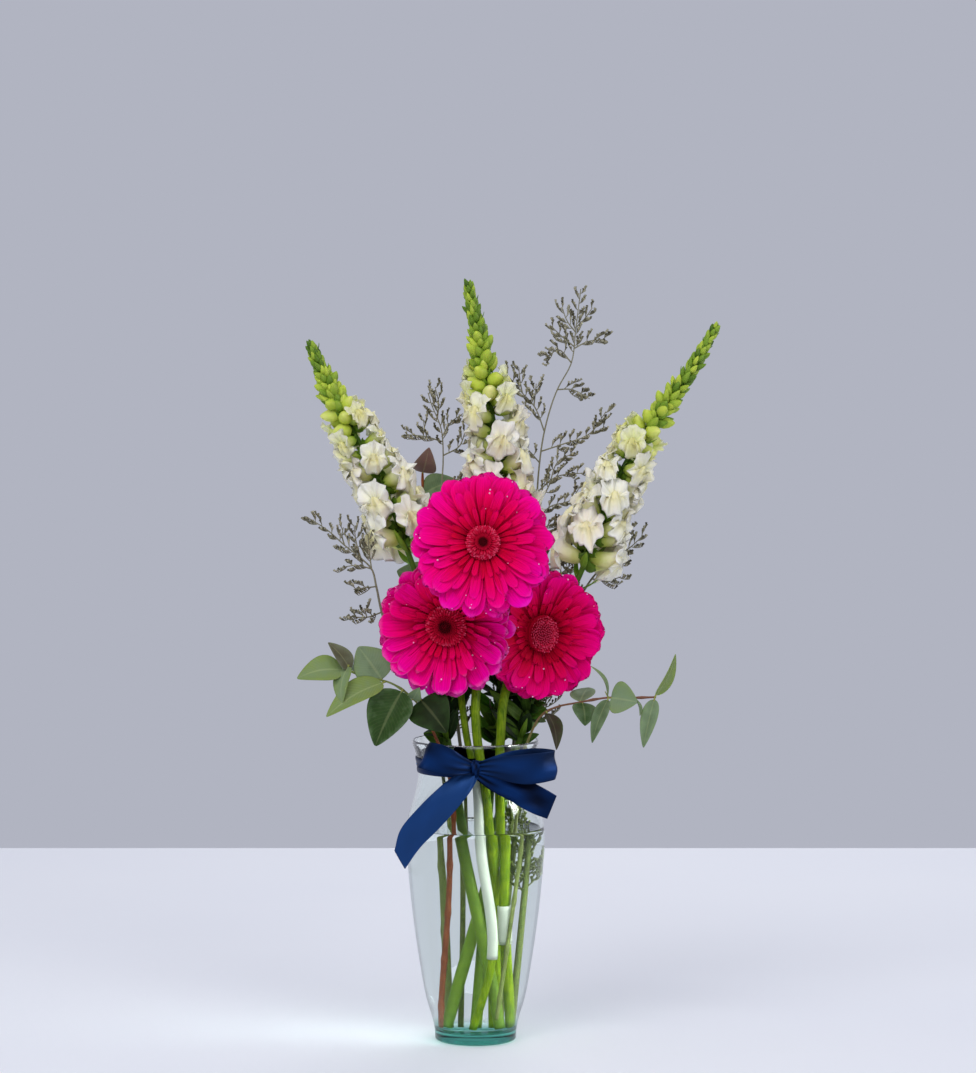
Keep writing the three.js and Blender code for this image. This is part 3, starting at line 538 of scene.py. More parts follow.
for number, head in enumerate(gerberas, 1):
    name = f"gerbera_{number}"
    rng = np.random.default_rng(HEAD_SEED + number)
    axes, centre = head_axes(head["turn"], head["pitch"]), np.array(head["centre"])
    disc = head["disc"]

    petals = [placed(straps(rng, count, head["reach"] * part - disc + 4, wide, disc - 4, height,
                            head["cup"] + extra, droop, offset=0.37 * row), axes, centre)
              for row, (count, part, wide, height, extra, droop) in enumerate(ray_rows)]
    for rings, notes in petals:
        notes["radial"] = notes["radial"] + head["rosier"] * (1 + (centre[2] - rings[..., 2]) / 40)
        notes["frost"] = head["frost"]
    petals.extend((beads(rng, rings, count, 0.35, 0.8), dict(dew=1.0))
                  for (rings, _), count in zip(petals[:4], (15, 15, 12, 6)))
    cushion = turned([[3, -10], [disc - 2, -9.6], [disc + 0.2, -7], [disc, -3.4], [disc - 4, -2.6]], 32)
    petals.append(placed((cushion, dict(tint=0.3, radial=14.0)), axes, centre))
    skin(f"{name}_rays", petals, petal_finish, [f"{name}_petals"])

    dome = lambda out: 2.6 - 2.4 * (out / disc) ** 2
    plate = turned([[disc - 1, -2.4], [disc - 0.5, -0.6], [0.75 * disc, 0.6], [0.4 * disc, 1.6], [2, 2]], 40)
    middle = [(plate, dict(radial=0.7, tone=0.0 if head["dark"] else 0.7))]
    if head["dark"]:
        middle.append(studs(rng, 170, 0.2, head["dark"], 1.8, 0.6, dome, 0.0))
        for row, root in enumerate(np.linspace(head["dark"], disc - 5.2, 4)):
            fringe, notes = straps(rng, 32 + 7 * row, 5.4, 1.5, root, 1.4 - 0.9 * row, 58 - 9 * row, 52,
                                   0.5, 7, 6, 0.0, 0.4 * row)
            paler = notes["along"] * (0.4 + 0.75 * notes["tint"])
            middle.append((fringe, dict(along=paler, tone=(0.3, 0.6, 0.8, 0.95)[row], radial=0.75)))
    else:
        middle.append(studs(rng, 120, 0.2, disc - 5, 4.2, 1.0, dome, 0.8))
        for row, root in enumerate((disc - 8.5, disc - 6.0, disc - 3.6)):
            fringe, notes = straps(rng, 26 + 5 * row, 6.5, 2.1, root, 0.8 - 0.7 * row, 72 + 4 * row, 20,
                                   0.6, 7, 6, 0.0, 0.5 * row)
            paler = notes["along"] * (0.7 + 0.5 * notes["tint"])
            middle.append((fringe, dict(along=paler, tone=0.9, radial=1.0)))
        middle = [(rings * [0.8, 1, 1], notes) for rings, notes in middle]
    skin(f"{name}_centre", [placed(part, axes, centre) for part in middle], disc_finish,
         [f"{name}_disc"])

    behind = [tuple(centre - (RECEPTACLE + depth) * axes[2]) for depth in (16, 9, 4, 0.35)]
    route = flow([*head["foot"], *behind], 90)
    to_head = np.linalg.norm(route - (centre - RECEPTACLE * axes[2]), axis=1)
    stem_radius = np.interp(to_head, [0, 4, 9, 16, 30], [disc - 3, 8.6, 4.7, head["stem"], head["stem"]])
    stem = (tube(route, stem_radius, 16), dict(fresh=smooth(route[:, 2], 400, 60)[None, :, None]))
    bracts, _ = straps(rng, 26, disc + 1, 4.2, 3.4, -17, 34, -22, 0.8, 8, 8, 0.0)
    skin(f"{name}_stalk", [stem, placed((bracts, {}), axes, centre)], stem_finish,
         [f"{name}_stem"])

    if head["straw"]:
        low, high = head["straw"]
        sleeve = route[(route[:, 2] > low) & (route[:, 2] < high)]
        radii = np.full(len(sleeve), head["stem"] + STRAW_ROOM)
        skin(f"{name}_support", [(tube(sleeve, radii, 20), {})], straw_finish,
             [f"{name}_straw"])

# ---------------------------------------------------------------- snapdragons
# Three spikes of white snapdragon. A green stem with narrow leaves carries ruffled two-lipped
# florets that open from below, then swollen yellow-green buds and a tip of tight green ones.

# Each one: the path of its stem, that of its spike, the first and last eighth of the spike with open
# florets, and the radius of its stem low down.
snapdragons = [
    dict(foot=[(18, -13, 13), (-10, -10, 175), (-19, -8, 226), (-24, -6, 256), (-43, 8, 374)],
         spike=[(-58.6, 18, 418), (-72, 21, 455), (-89, 22, 491), (-107, 20, 523), (-124, 16, 555),
                (-139.4, 11, 591.5)], opened=(0, 5), stem=4.2),
    dict(foot=[(0, 7, 13), (10, 14, 175), (14, 16, 226), (17, 18, 256)],
         spike=[(22.7, 30, 407), (21.5, 34, 475), (16.8, 36, 518), (9.9, 36, 557), (2, 34, 600),
                (-6.4, 30, 644.6)], opened=(1, 5), stem=3.6),
    dict(foot=[(-19, 0, 13), (16.5, 4, 175), (29, 6, 226), (38, 8, 256), (63.6, 14, 340)],
         spike=[(92, 20, 403), (106.6, 24, 441), (119.6, 26, 474), (138.4, 26, 508),
                (159.7, 24, 536), (183.6, 22, 570), (205.7, 20, 608.6)], opened=(0, 4), stem=4.0),
]
SPIKE_STEPS, SPIKE_SEED = 8, 70
FLORETS, SWOLLEN_BUDS, TIGHT_BUDS, BRACTS = 28, 16, 74, 44
LEAVES, LOW_LEAVES = 15, 60
LEAVES_FROM = 256
LOW_ROOTS, LOW_TIPS, LOW_SIDES = (250, 330), (261, 345), (-44, 60)  # two in height, one from left to right
SPIKE_TIP = 0.985  # share of the spike's length at its topmost bud
# A bud: shares of its length, and of its radius there.
BUD = np.array([(0, 0.5), (0.2, 0.95), (0.45, 1.0), (0.7, 0.82), (0.9, 0.45), (1.0, 0.12)])


def run(line):
    """The length along a line from its start to each of its points."""
    return np.concatenate([[0], np.cumsum(np.linalg.norm(np.diff(line, axis=0), axis=1))])


def seats(line, shares, around):
    """Where things grow from a stem, at shares of its length: the place, and the ways out, to the
    side and up along the stem. The way out is turned round the stem from its front by an angle."""
    length = run(line)
    at = lambda field: np.stack([np.interp(shares, length / length[-1], column) for column in field.T], -1)
    up = unit(at(np.gradient(line, axis=0)))
    front = unit(np.array([0, -1, 0]) + up[:, 1:2] * up)
    turn = np.asarray(around)[:, None]
    out = front * np.cos(turn) + np.cross(up, front) * np.sin(turn)
    return at(line), out, np.cross(up, out), up


def grown(rings, seat):
    """Rings made in (out, side, up) from a stem, carried to their seats on it."""
    base, out, side, up = (part[:, None, None, :] for part in seat)
    return base + rings[..., 0:1] * out + rings[..., 1:2] * side + rings[..., 2:3] * up


def buds(seat, length, radius, lean, start, points=8):
    """Buds that leave the stem at a lean above level and bend up: round sections sized as BUD says."""
    share, wide = BUD.T
    length, radius, lean, start = (
        np.broadcast_to(value, len(seat[0]))[:, None] for value in (length, radius, lean, start))
    reach = start + length * np.cos(lean) * share
    height = length * np.sin(lean) * (0.55 * share + 0.45 * share ** 2)
    return grown(tube(xyz(reach, 0, height), radius * wide, points), seat)


def leaves(base, tip, face, width, shape, arch=0.07, fold=0.25, thick=0.6, along=14, around=12):
    """Leaves from their bases to their tips. The half width at a share s of the length is that of
    sin(pi s^a)^b; the middle line arches towards the face as a half sine, and the blade folds up
    from its midrib as the 1.3rd power of the way across."""
    base, tip, face = (np.asarray(x, float) for x in (base, tip, face))
    share = (1 - np.cos(np.linspace(0, np.pi, along))) / 2
    ahead = tip - base
    length = np.linalg.norm(ahead, axis=1, keepdims=True)
    face = unit(face - (face * ahead).sum(1, keepdims=True) / length ** 2 * ahead)
    side = np.cross(ahead / length, face)
    middle = (base[:, None] + share[:, None] * ahead[:, None]
              + (arch * length * np.sin(np.pi * share))[..., None] * face[:, None])
    outline = np.sin(np.pi * share ** shape[0]) ** shape[1] + 0.05
    across, thickness = np.cos(circle(around)), np.sin(circle(around))
    half = np.broadcast_to(width, len(base))[:, None, None] / 2 * outline[None, :, None]
    lifted = thick / 2 * thickness + fold * half * np.abs(across) ** 1.3
    rings = (middle[:, :, None] + (half * across)[..., None] * side[:, None, None]
             + lifted[..., None] * face[:, None, None])
    return rings[:, :, ::-1], dict(along=share[None, :, None], across=across[::-1])


def florets(rng, seat, size, young):
    """Open florets, each one closed skin: out along the tube, round the ruffled rim and back in to
    a throat that is nearly closed.

    From the tube the radius swells and then flares. The rim has five rounded lobes, two that stand up
    and three that bend back and hang; each lobe is one less the square of the angle from its middle.
    Sines round the rim ruffle it, the lower lip bulges up in the mouth, and each floret is rolled a
    little about its tube.
    """
    knots = [0, 0.1, 0.22, 0.42, 0.58, 0.7, 0.8, 0.88, 0.95, 1.0]
    share = np.concatenate([knots, [0.985, 0.94, 0.88, 0.82, 0.77, 0.74]])[None, :, None]
    inner = np.concatenate([np.zeros(10), [0.4, 0.8, 1.6, 3.2, 5.0, 6.6]])[None, :, None]
    turn = circle(44)[None, None, :]
    count = len(seat[0])
    phase = rng.uniform(0, 2 * np.pi, (5, count, 1, 1))
    radius = np.interp(share, knots, [1.8, 3.6, 5.0, 6.0, 6.8, 8.2, 10.4, 12.6, 14.4, 15.4]) - inner
    reach = np.interp(share, knots, [0, 2.0, 5.0, 10.0, 14.6, 17.6, 19.8, 21.0, 21.4, 21.2])
    flare = smooth(share, 0.6, 1.0)
    lobe = np.max([1 - (((turn - np.radians(middle) - 0.2 * np.sin(3 * phase[0] + middle) + np.pi)
                         % (2 * np.pi) - np.pi) / 0.72) ** 2
                   for middle in (52, 128, 205, 270, 335)], axis=0)
    lower, upper = np.clip(-np.sin(turn), 0, 1), np.clip(np.sin(turn), 0, 1)
    radius = radius * (1 - 0.2 * flare * (1 - np.sqrt(np.clip(lobe, 0, 1))))
    radius = radius * (1 + 0.1 * flare * np.sin(7 * turn + phase[4]) + 0.16 * flare * upper)
    ruffle = flare * (2.2 * np.sin(3 * turn + phase[0]) + 2.2 * np.sin(8 * turn + phase[1])
                      + 1.4 * np.sin(13 * turn + phase[2]) + 0.8 * np.sin(19 * turn + phase[4]))
    reach = reach + ruffle - 8 * flare ** 1.6 * lower - 3 * flare ** 3 * upper * np.sin(phase[2])
    palate = 8.5 * np.exp(-((share - 0.78) / 0.13) ** 2) * lower ** 0.8
    roll = 0.5 * np.sin(2 * phase[3])
    wide, tall = radius * np.cos(turn) * (1 - 0.16 * flare), radius * np.sin(turn) + palate
    beside, above = swung(wide, tall, roll)
    forward, up = swung(reach + 0.5 * palate, above, np.radians(18) + 0.3 * np.sin(phase[3]))
    rings = [2.2, 0, -1.5] + size[:, None, None, None] * xyz(forward, beside, up)
    notes = dict(along=share, palate=palate / 8.5, young=young[:, None, None],
                 tint=rng.uniform(0, 1, (count, 1, 1)))
    return grown(rings, seat), notes


def calyx_cups(seat, size):
    """The green cup at the root of each floret: a short flared skin whose edge has five points."""
    turn = circle(15)
    share = np.array([0, 0.4, 0.8, 1.0, 0.85, 0.4])[None, :, None]
    radius = np.array([1.6, 4.2, 5.0, 5.5, 4.8, 3.6])[None, :, None]
    reach = 6.5 * share * (0.775 + 0.225 * np.cos(5 * turn))
    forward, up = swung(reach, radius * np.sin(turn), np.radians(24))
    rings = xyz(forward, radius * np.cos(turn), up)
    return grown([1.4, 0, -1.0] + size[:, None, None, None] * rings, seat)


spike_finish, start = blank_finish("spike_green")
ripe, share, across = reads(start, "ripe", "along", "across")
mottle = noise(start, 220.0, 2.0)
# The colour runs from young green to ripe yellow; its darkest stop, a near-black green, is painted shade for
# the low leaves under the heads.
by_age_and_shade = ramp(ripe + 0.18 * (mottle - 0.5) + 0.12 * share, (0.0, "1a2c0e"), (0.2, "4a6a1a"),
              (0.4, "7a9a2e"), (0.7, "c0d04a"), (1.0, "efeb9c"))
rib = rescale(across * across, 0.0, 0.02, 0.3, 0.0)
surface(start, blend(rib * (ripe + 0.2), by_age_and_shade, "a9c766"), 0.55, 0.15,
        scatter=(0.1, (0.4, 1.0, 0.2), 0.003), bump=(0.4, 0.0005, mottle))

floret_finish, start = blank_finish("white_floret")
share, young, tint, palate = reads(start, "along", "young", "tint", "palate")
mottle = noise(start, 260.0, 2.0)
by_length = ramp(share - 0.32 * young * young + 0.2 * (mottle - 0.5), (0.0, "8fae2c"),
                 (0.3, "c4cf66"), (0.56, "e8e9b2"), (0.8, "f5f2dc"), (1.0, "faf8ec"))
blush = blend((tint - 0.72) * 0.7, by_length, "efc9c6")
surface(start, blend(palate * 0.5, blush, "ecdf7c"), 0.6, 0.3,
        scatter=(0.25, (1.0, 0.9, 0.6), 0.003), bump=(0.35, 0.0004, mottle))

for number, flower in enumerate(snapdragons, 1):
    rng = np.random.default_rng(SPIKE_SEED + number)
    first, last = (step / SPIKE_STEPS for step in flower["opened"])
    whole = flow(flower["foot"] + flower["spike"], 160)
    spike = flow(flower["spike"], 90)
    at_height = lambda height: np.interp(height, whole[:, 2], np.linspace(0, 1, len(whole)))

    flowering = first + (last + 0.03 - first) * (np.arange(FLORETS) + 0.4) / FLORETS
    around = golden(FLORETS) + 0.9 * number
    seat = seats(spike, flowering, around + 0.42 * np.sin(2 * around))
    size = np.linspace(1.36, 0.8, FLORETS) * rng.uniform(0.86, 1.1, FLORETS)
    young = smooth(flowering, first + 0.35 * (last - first), last + 0.03)
    skin(f"snapdragon_{number}_blooms", [florets(rng, seat, size, young)], floret_finish,
         [f"snapdragon_{number}_florets"])

    # The stem, the cups of the florets, and the swollen buds in cups of their own.
    up = np.arange(SWOLLEN_BUDS) / SWOLLEN_BUDS
    grown_up = 1 - up
    seat_swollen = seats(spike, last - 0.05 + 0.25 * up, golden(SWOLLEN_BUDS) + 2.0 + number)
    stem = tube(whole, np.interp(whole[:, 2], [0, 220, 300, 420, 640],
                                 [flower["stem"], flower["stem"], 2.6, 2.4, 1.4]), 14)
    swollen = buds(
        seat_swollen, (11 + 8 * grown_up) * rng.uniform(0.9, 1.1, SWOLLEN_BUDS), 3.9 + 2.9 * grown_up,
        np.radians(44 - 20 * grown_up + rng.uniform(-10, 10, SWOLLEN_BUDS)), 2.0, 12)
    parts = [
        (stem, dict(ripe=(0.17 + 0.17 * smooth(whole[:, 2], 230, 120))[None, :, None], across=1.0)),
        (calyx_cups(seat, size), dict(ripe=0.25, across=1.0)),
        (swollen, dict(ripe=(0.42 + 0.45 * grown_up + rng.uniform(-0.1, 0.1, SWOLLEN_BUDS))[:, None, None],
                       along=np.linspace(-1, 1, len(BUD))[None, :, None], across=1.0)),
        (calyx_cups(seat_swollen, 0.65 + 0.3 * grown_up), dict(ripe=0.25, across=1.0)),
    ]

    # The tip's tight green buds, with small bracts among them.
    up = np.linspace(0, 1, TIGHT_BUDS)
    tight = buds(seats(spike, last + 0.06 + (SPIKE_TIP - last - 0.06) * up, golden(TIGHT_BUDS)),
                 (14 - 6.5 * up) * rng.uniform(0.8, 1.15, TIGHT_BUDS),
                 (3.7 - 1.5 * up) * rng.uniform(0.8, 1.15, TIGHT_BUDS),
                 np.radians(38 + 30 * up + rng.uniform(-13, 13, TIGHT_BUDS)), 1.8 - 0.8 * up)
    parts.append((tight, dict(
        ripe=(0.47 - 0.18 * up + rng.uniform(-0.2, 0.2, TIGHT_BUDS))[:, None, None],
        along=np.linspace(0, 1, len(BUD))[None, :, None], across=1.0)))
    base, out, _, up = seats(spike, last - 0.02 + (SPIKE_TIP - last) * np.linspace(0, 1, BRACTS),
                             golden(BRACTS) + 1.1)
    reach = np.linspace(15, 8, BRACTS)[:, None] * rng.uniform(0.75, 1.15, (BRACTS, 1))
    lean = rng.uniform(0.45, 0.8, (BRACTS, 1))
    blades, notes = leaves(base + 1.2 * out, base + reach * (lean * out + 0.8 * up), up - 0.5 * out,
                           np.linspace(4.6, 3.0, BRACTS), (0.75, 0.9), -0.1, 0.35, 0.5, 8, 8)
    parts.append((blades, dict(ripe=rng.uniform(0.1, 0.36, (BRACTS, 1, 1)), **notes)))

    # Narrow leaves up the stem, and low ones that fill the room between the heads and the rim, coloured
    # near-black green as painted shade.
    heights = LEAVES_FROM + np.linspace(0, 1, LEAVES) ** 0.8 * (flower["spike"][0][2] - 250)
    base, out, _, up = seats(whole, at_height(heights), golden(LEAVES))
    reach = rng.uniform(20, 30, (LEAVES, 1))
    blades, notes = leaves(base + 1.5 * out, base + reach * (0.62 * out + 0.72 * up),
                           up * 0.6 - out * 0.6, rng.uniform(4.5, 6.5, LEAVES), (0.8, 0.9), -0.08, 0.3, 0.5)
    parts.append((blades, dict(ripe=0.15 + rng.uniform(0, 0.2, (LEAVES, 1, 1)), **notes)))
    base, out, side, _ = seats(whole, at_height(rng.uniform(*LOW_ROOTS, LOW_LEAVES)), golden(LOW_LEAVES))
    tip = base + rng.uniform(12, 34, (LOW_LEAVES, 1)) * out + rng.uniform(-9, 9, (LOW_LEAVES, 1)) * side
    tip[:, 0] = np.clip(tip[:, 0], *LOW_SIDES)
    tip[:, 1] = np.maximum(tip[:, 1], base[:, 1] - 8)
    tip[:, 2] = np.clip(tip[:, 2] + rng.uniform(-4, 34, LOW_LEAVES), *LOW_TIPS)
    blades, notes = leaves(base, tip, [0, -0.75, 0.65] + rng.uniform(-0.6, 0.6, (LOW_LEAVES, 3)),
                           rng.uniform(6, 13, LOW_LEAVES), (0.85, 0.8), 0.08, 0.22, 0.5)
    # Their low ripeness picks the near-black green: painted shade.
    parts.append((blades, dict(ripe=rng.uniform(-0.2, 0.14, (LOW_LEAVES, 1, 1)), **notes)))
    skin(f"snapdragon_{number}_spike", parts, spike_finish, [f"snapdragon_{number}_stem"])

# ---------------------------------------------------------------- sea lavender
# Four sprays of dried-looking sea lavender: thin forked twigs in dull olive brown, each side twig set
# along one side with a comb of tiny papery calyces, dark where they hold their shed florets.

# Each spray: the path of its stem, the stem's radius low down, and the paths of its branches.
limoniums = [
    dict(stem=[(21, 8, 13), (27, 12, 100), (31, 16, 175), (31, 16, 226), (33, 18, 256), (42, 32, 350),
               (52, 50, 440), (54, 50, 481), (59, 48, 517), (70, 44, 553), (82, 42, 576), (85.6, 42, 604),
               (90, 42, 639)], thick=2.4,
         branches=[
             [(82, 42, 576), (70.6, 46, 587), (59.8, 48, 579)],
             [(85.6, 42, 602), (78, 38, 612), (74, 38, 623)],
             [(85.6, 42, 606), (93, 46, 613), (100, 46, 623)],
             [(84, 42, 590), (72, 40, 600), (65, 40, 607)],
             [(84, 42, 588), (96, 44, 594), (111, 44, 596)],
             [(70, 44, 553), (82, 48, 553), (98, 48, 545)],
             [(59, 48, 517), (50, 48, 539), (40, 50, 550), (26, 50, 567)],
             [(50, 48, 539), (51, 49, 548), (52, 50, 558)],
             [(40, 50, 550), (38, 51, 561), (37, 52, 572)],
             [(56.5, 49, 500), (75, 52, 506), (98, 52, 515), (112, 52, 534)],
             [(98, 52, 515), (105, 53, 517), (111, 54, 521)],
             [(55, 49.5, 490), (44, 52, 502), (36, 54, 508)],
             [(53, 50, 465), (70, 54, 478), (92, 56, 481)],
             [(52, 50, 440), (64, 54, 452), (82, 54, 458), (90, 54, 470)],
             [(49, 45, 415), (60, 50, 424), (76, 48, 428)],
             [(54, 50, 455), (62, 52, 468), (72, 54, 492), (84, 54, 498)],
             [(50, 47, 428), (62, 44, 436), (78, 46, 440)],
             [(47, 42, 392), (60, 44, 402), (78, 46, 408), (92, 48, 418)],
             [(45, 36, 372), (58, 42, 384), (72, 44, 394), (84, 46, 404)]]),
    dict(stem=[(-8, 16, 13), (-8, 18, 175), (-10, 20, 226), (-14, 24, 256), (-26, 50, 400), (-29, 58, 473),
               (-28, 58, 494), (-30, 58, 520), (-38, 58, 540), (-41, 58, 550)], thick=1.6,
         branches=[
             [(-33, 58, 528), (-32, 60, 542), (-35, 60, 555)],
             [(-28, 58, 496), (-14, 62, 504), (-8, 62, 518), (-2, 62, 525)],
             [(-29, 58, 512), (-22, 62, 524), (-11, 64, 532)],
             [(-29, 58, 508), (-42, 60, 512), (-59, 60, 514)],
             [(-42, 60, 512), (-44, 61, 519), (-45, 62, 527)],
             [(-28, 57, 460), (-12, 60, 474), (-4, 60, 480)]]),
    dict(stem=[(-14, 10, 13), (-22, 8, 175), (-28, 6, 226), (-34, 4, 256), (-60, 2, 320), (-79.5, 0, 365),
               (-84, -2, 387), (-88, -2, 402), (-97, -2, 411), (-111, 0, 422), (-124.5, 0, 434),
               (-143, 0, 446)], thick=1.6,
         branches=[
             [(-111, 0, 422), (-113, 2, 430), (-112, 2, 437)],
             [(-97, -2, 411), (-101, 2, 424), (-103, 2, 439)],
             [(-88, -2, 402), (-90, 2, 416), (-91, 4, 431)],
             [(-88, -2, 402), (-100, -5, 405), (-111, -6, 404)],
             [(-84, -2, 387), (-94, -6, 386), (-103, -8, 385)],
             [(-79.5, 0, 365), (-92, -4, 361), (-107, -6, 362)],
             [(-92, -4, 361), (-93, -5, 365), (-94, -6, 369)]]),
    dict(stem=[(12, 22, 13), (22, 26, 175), (28, 28, 226), (36, 30, 256), (70, 44, 330), (100, 52, 390),
               (118, 54, 411), (134, 54, 436)], thick=1.5,
         branches=[
             [(110, 53, 402), (122, 52, 404), (133, 50, 409)],
             [(118, 54, 411), (130, 54, 415), (144, 54, 427)],
             [(128, 54, 426), (127, 54, 433), (126, 54, 440)],
             [(100, 52, 390), (113, 50, 388), (125, 48, 392)],
             [(85, 48, 360), (84, 54, 385), (76, 58, 408)]]),
]


def side_twigs(rng, line, spacing, first, length):
    """Short twigs from both sides of a branch: each leaves it 8 to 48 degrees forward of square and
    curls forward. Gives their middle lines, an array of twigs x steps x 3."""
    count = max(2, int(run(line)[-1] * (1 - first) / spacing))
    shares = first + (1 - first) * (np.arange(count) + rng.uniform(0.1, 0.9, count)) / count
    around = np.where(np.arange(count) % 2, 0.5, -0.5) * np.pi + rng.uniform(-0.7, 0.7, count)
    base, out, _, up = seats(line, shares, around)
    lean = np.radians(rng.uniform(8, 48, count))[:, None, None]
    size = (length * rng.uniform(0.55, 1.15, count) * (1 - 0.4 * (shares - first)))[:, None, None]
    step = np.linspace(0, 1, 6)[None, :, None]
    forward = size * (np.sin(lean) * step + 0.35 * step ** 2)
    outward = size * np.cos(lean) * (step - 0.3 * step ** 2)
    return base[:, None] + forward * up[:, None] + outward * out[:, None]


def combs(rng, twigs, per_twig):
    """Calyces in a comb from about a fifth of the way along each twig to its tip: tiny trumpets that
    stand on its upper side and lean forward, wider at the mouth and closed over it."""
    share = np.linspace(0.22, 1.0, per_twig)
    step = share * (twigs.shape[1] - 1)
    low = np.minimum(step.astype(int), twigs.shape[1] - 2)
    part = (step - low)[None, :, None]
    base = (twigs[:, low] * (1 - part) + twigs[:, low + 1] * part).reshape(-1, 3)
    ahead = unit((twigs[:, low + 1] - twigs[:, low]).reshape(-1, 3))
    rise = np.array([0, -0.35, 1.0]) + rng.uniform(-0.45, 0.45, base.shape)
    lean = unit(ahead * 0.75 + unit(rise))[:, None]
    size = rng.uniform(2.8, 4.8, (len(base), 1, 1))
    along = np.array([0, 0.35, 0.75, 1.0, 0.9])[None, :, None]
    path = base[:, None] + size * along * lean + np.array([0, 0, 0, 0, 1e-3])[None, :, None] * lean
    wide = np.array([0.28, 0.55, 0.85, 1.15, 0.3])[None, :, None, None]
    side = unit(np.cross(lean, [0.31, 0.87, 0.38]))
    turn = circle(5)[:, None]
    ring = side[:, :, None] * np.cos(turn) + np.cross(lean, side)[:, :, None] * np.sin(turn)
    rings = path[:, :, None] + wide * ring
    return rings, dict(tip=along, dark=rng.uniform(0, 1, (len(base), 1, 1)))


twig_finish, start = blank_finish("sea_lavender_twig")
tip, dark, wet = reads(start, "tip", "dark", "wet")
mottle = noise(start, 300.0, 2.0)
bark, watery = blend(mottle, "66634a", "94907a"), blend(mottle, "4c5c24", "808e42")
papery = ramp(dark, (0.0, "2e2a20"), (0.3, "69654e"), (0.6, "938f76"), (1.0, "b4af98"))
surface(start, blend(tip, blend(wet, bark, watery), papery), 0.8, 0.25, bump=(0.4, 0.0003, mottle))

SPRAY_SEED = 90
UNDER_WATER, BELOW_HEADS = (126, 212), (258, 325)  # heights with more twigs
GLASS_ROOM = 47  # radius that the twigs in the vase keep within
for number, spray in enumerate(limoniums, 1):
    rng = np.random.default_rng(SPRAY_SEED + number)
    stem = flow(spray["stem"], 130)
    between = lambda low, high: stem[(stem[:, 2] > low) & (stem[:, 2] < high)]
    thick = np.interp(stem[:, 2], [0, 256, 380, stem[-1, 2]], [spray["thick"], 1.5, 0.95, 0.4])
    lines = [flow(branch, 16) for branch in spray["branches"]]
    tops = stem[stem[:, 2] > 0.9 * stem[-1, 2]]
    twigs = np.concatenate([side_twigs(rng, line, 3.6, 0.12, 12) for line in lines]
                           + [side_twigs(rng, tops, 4.5, 0.1, 12)])
    parts = [
        (tube(stem, thick, 8), dict(wet=smooth(stem[:, 2], 260, 180)[None, :, None])),
        (np.concatenate([tube(line, np.linspace(0.75, 0.4, 16), 6) for line in lines]), {}),
        (tube(twigs, np.linspace(0.42, 0.28, 6), 5), {}),
        combs(rng, twigs, 7),
    ]
    if number in (1, 4):
        sunk = side_twigs(rng, between(*UNDER_WATER), 4.2, 0.0, 17)
        sunk[..., 0] += 0.5 * np.abs(sunk[..., 0] - sunk[:, :1, 0])
        sunk[..., 2] += rng.uniform(-0.4, 1.2, (len(sunk), 1)) * (sunk[..., 0] - sunk[:, :1, 0])
        sunk = np.concatenate([sunk] + [side_twigs(rng, line, 3.0, 0.2, 8) for line in sunk])
        outside = np.hypot(sunk[..., 0], sunk[..., 1]) / GLASS_ROOM
        sunk[..., :2] /= np.maximum(outside, 1)[..., None]
        parts.append((tube(sunk, np.linspace(0.6, 0.3, 6), 5), dict(wet=0.8)))
        parts.append((combs(rng, sunk, 3)[0], dict(wet=1.0)))
    if number != 3:
        hidden = side_twigs(rng, between(*BELOW_HEADS), 1.5, 0.0, 36)
        hidden[..., 1] = np.maximum(hidden[..., 1], hidden[:, :1, 1] - 6)
        parts.append((tube(hidden, np.linspace(0.7, 0.35, 6), 5), dict(wet=0.4)))
        # The calyces on these twigs below the heads are painted darker, as shade.
        shaded, notes = combs(rng, hidden, 9)
        parts.append((shaded, dict(tip=notes["tip"], dark=0.3 * notes["dark"])))
    skin(f"limonium_{number}_spray", parts, twig_finish, [f"limonium_{number}"])
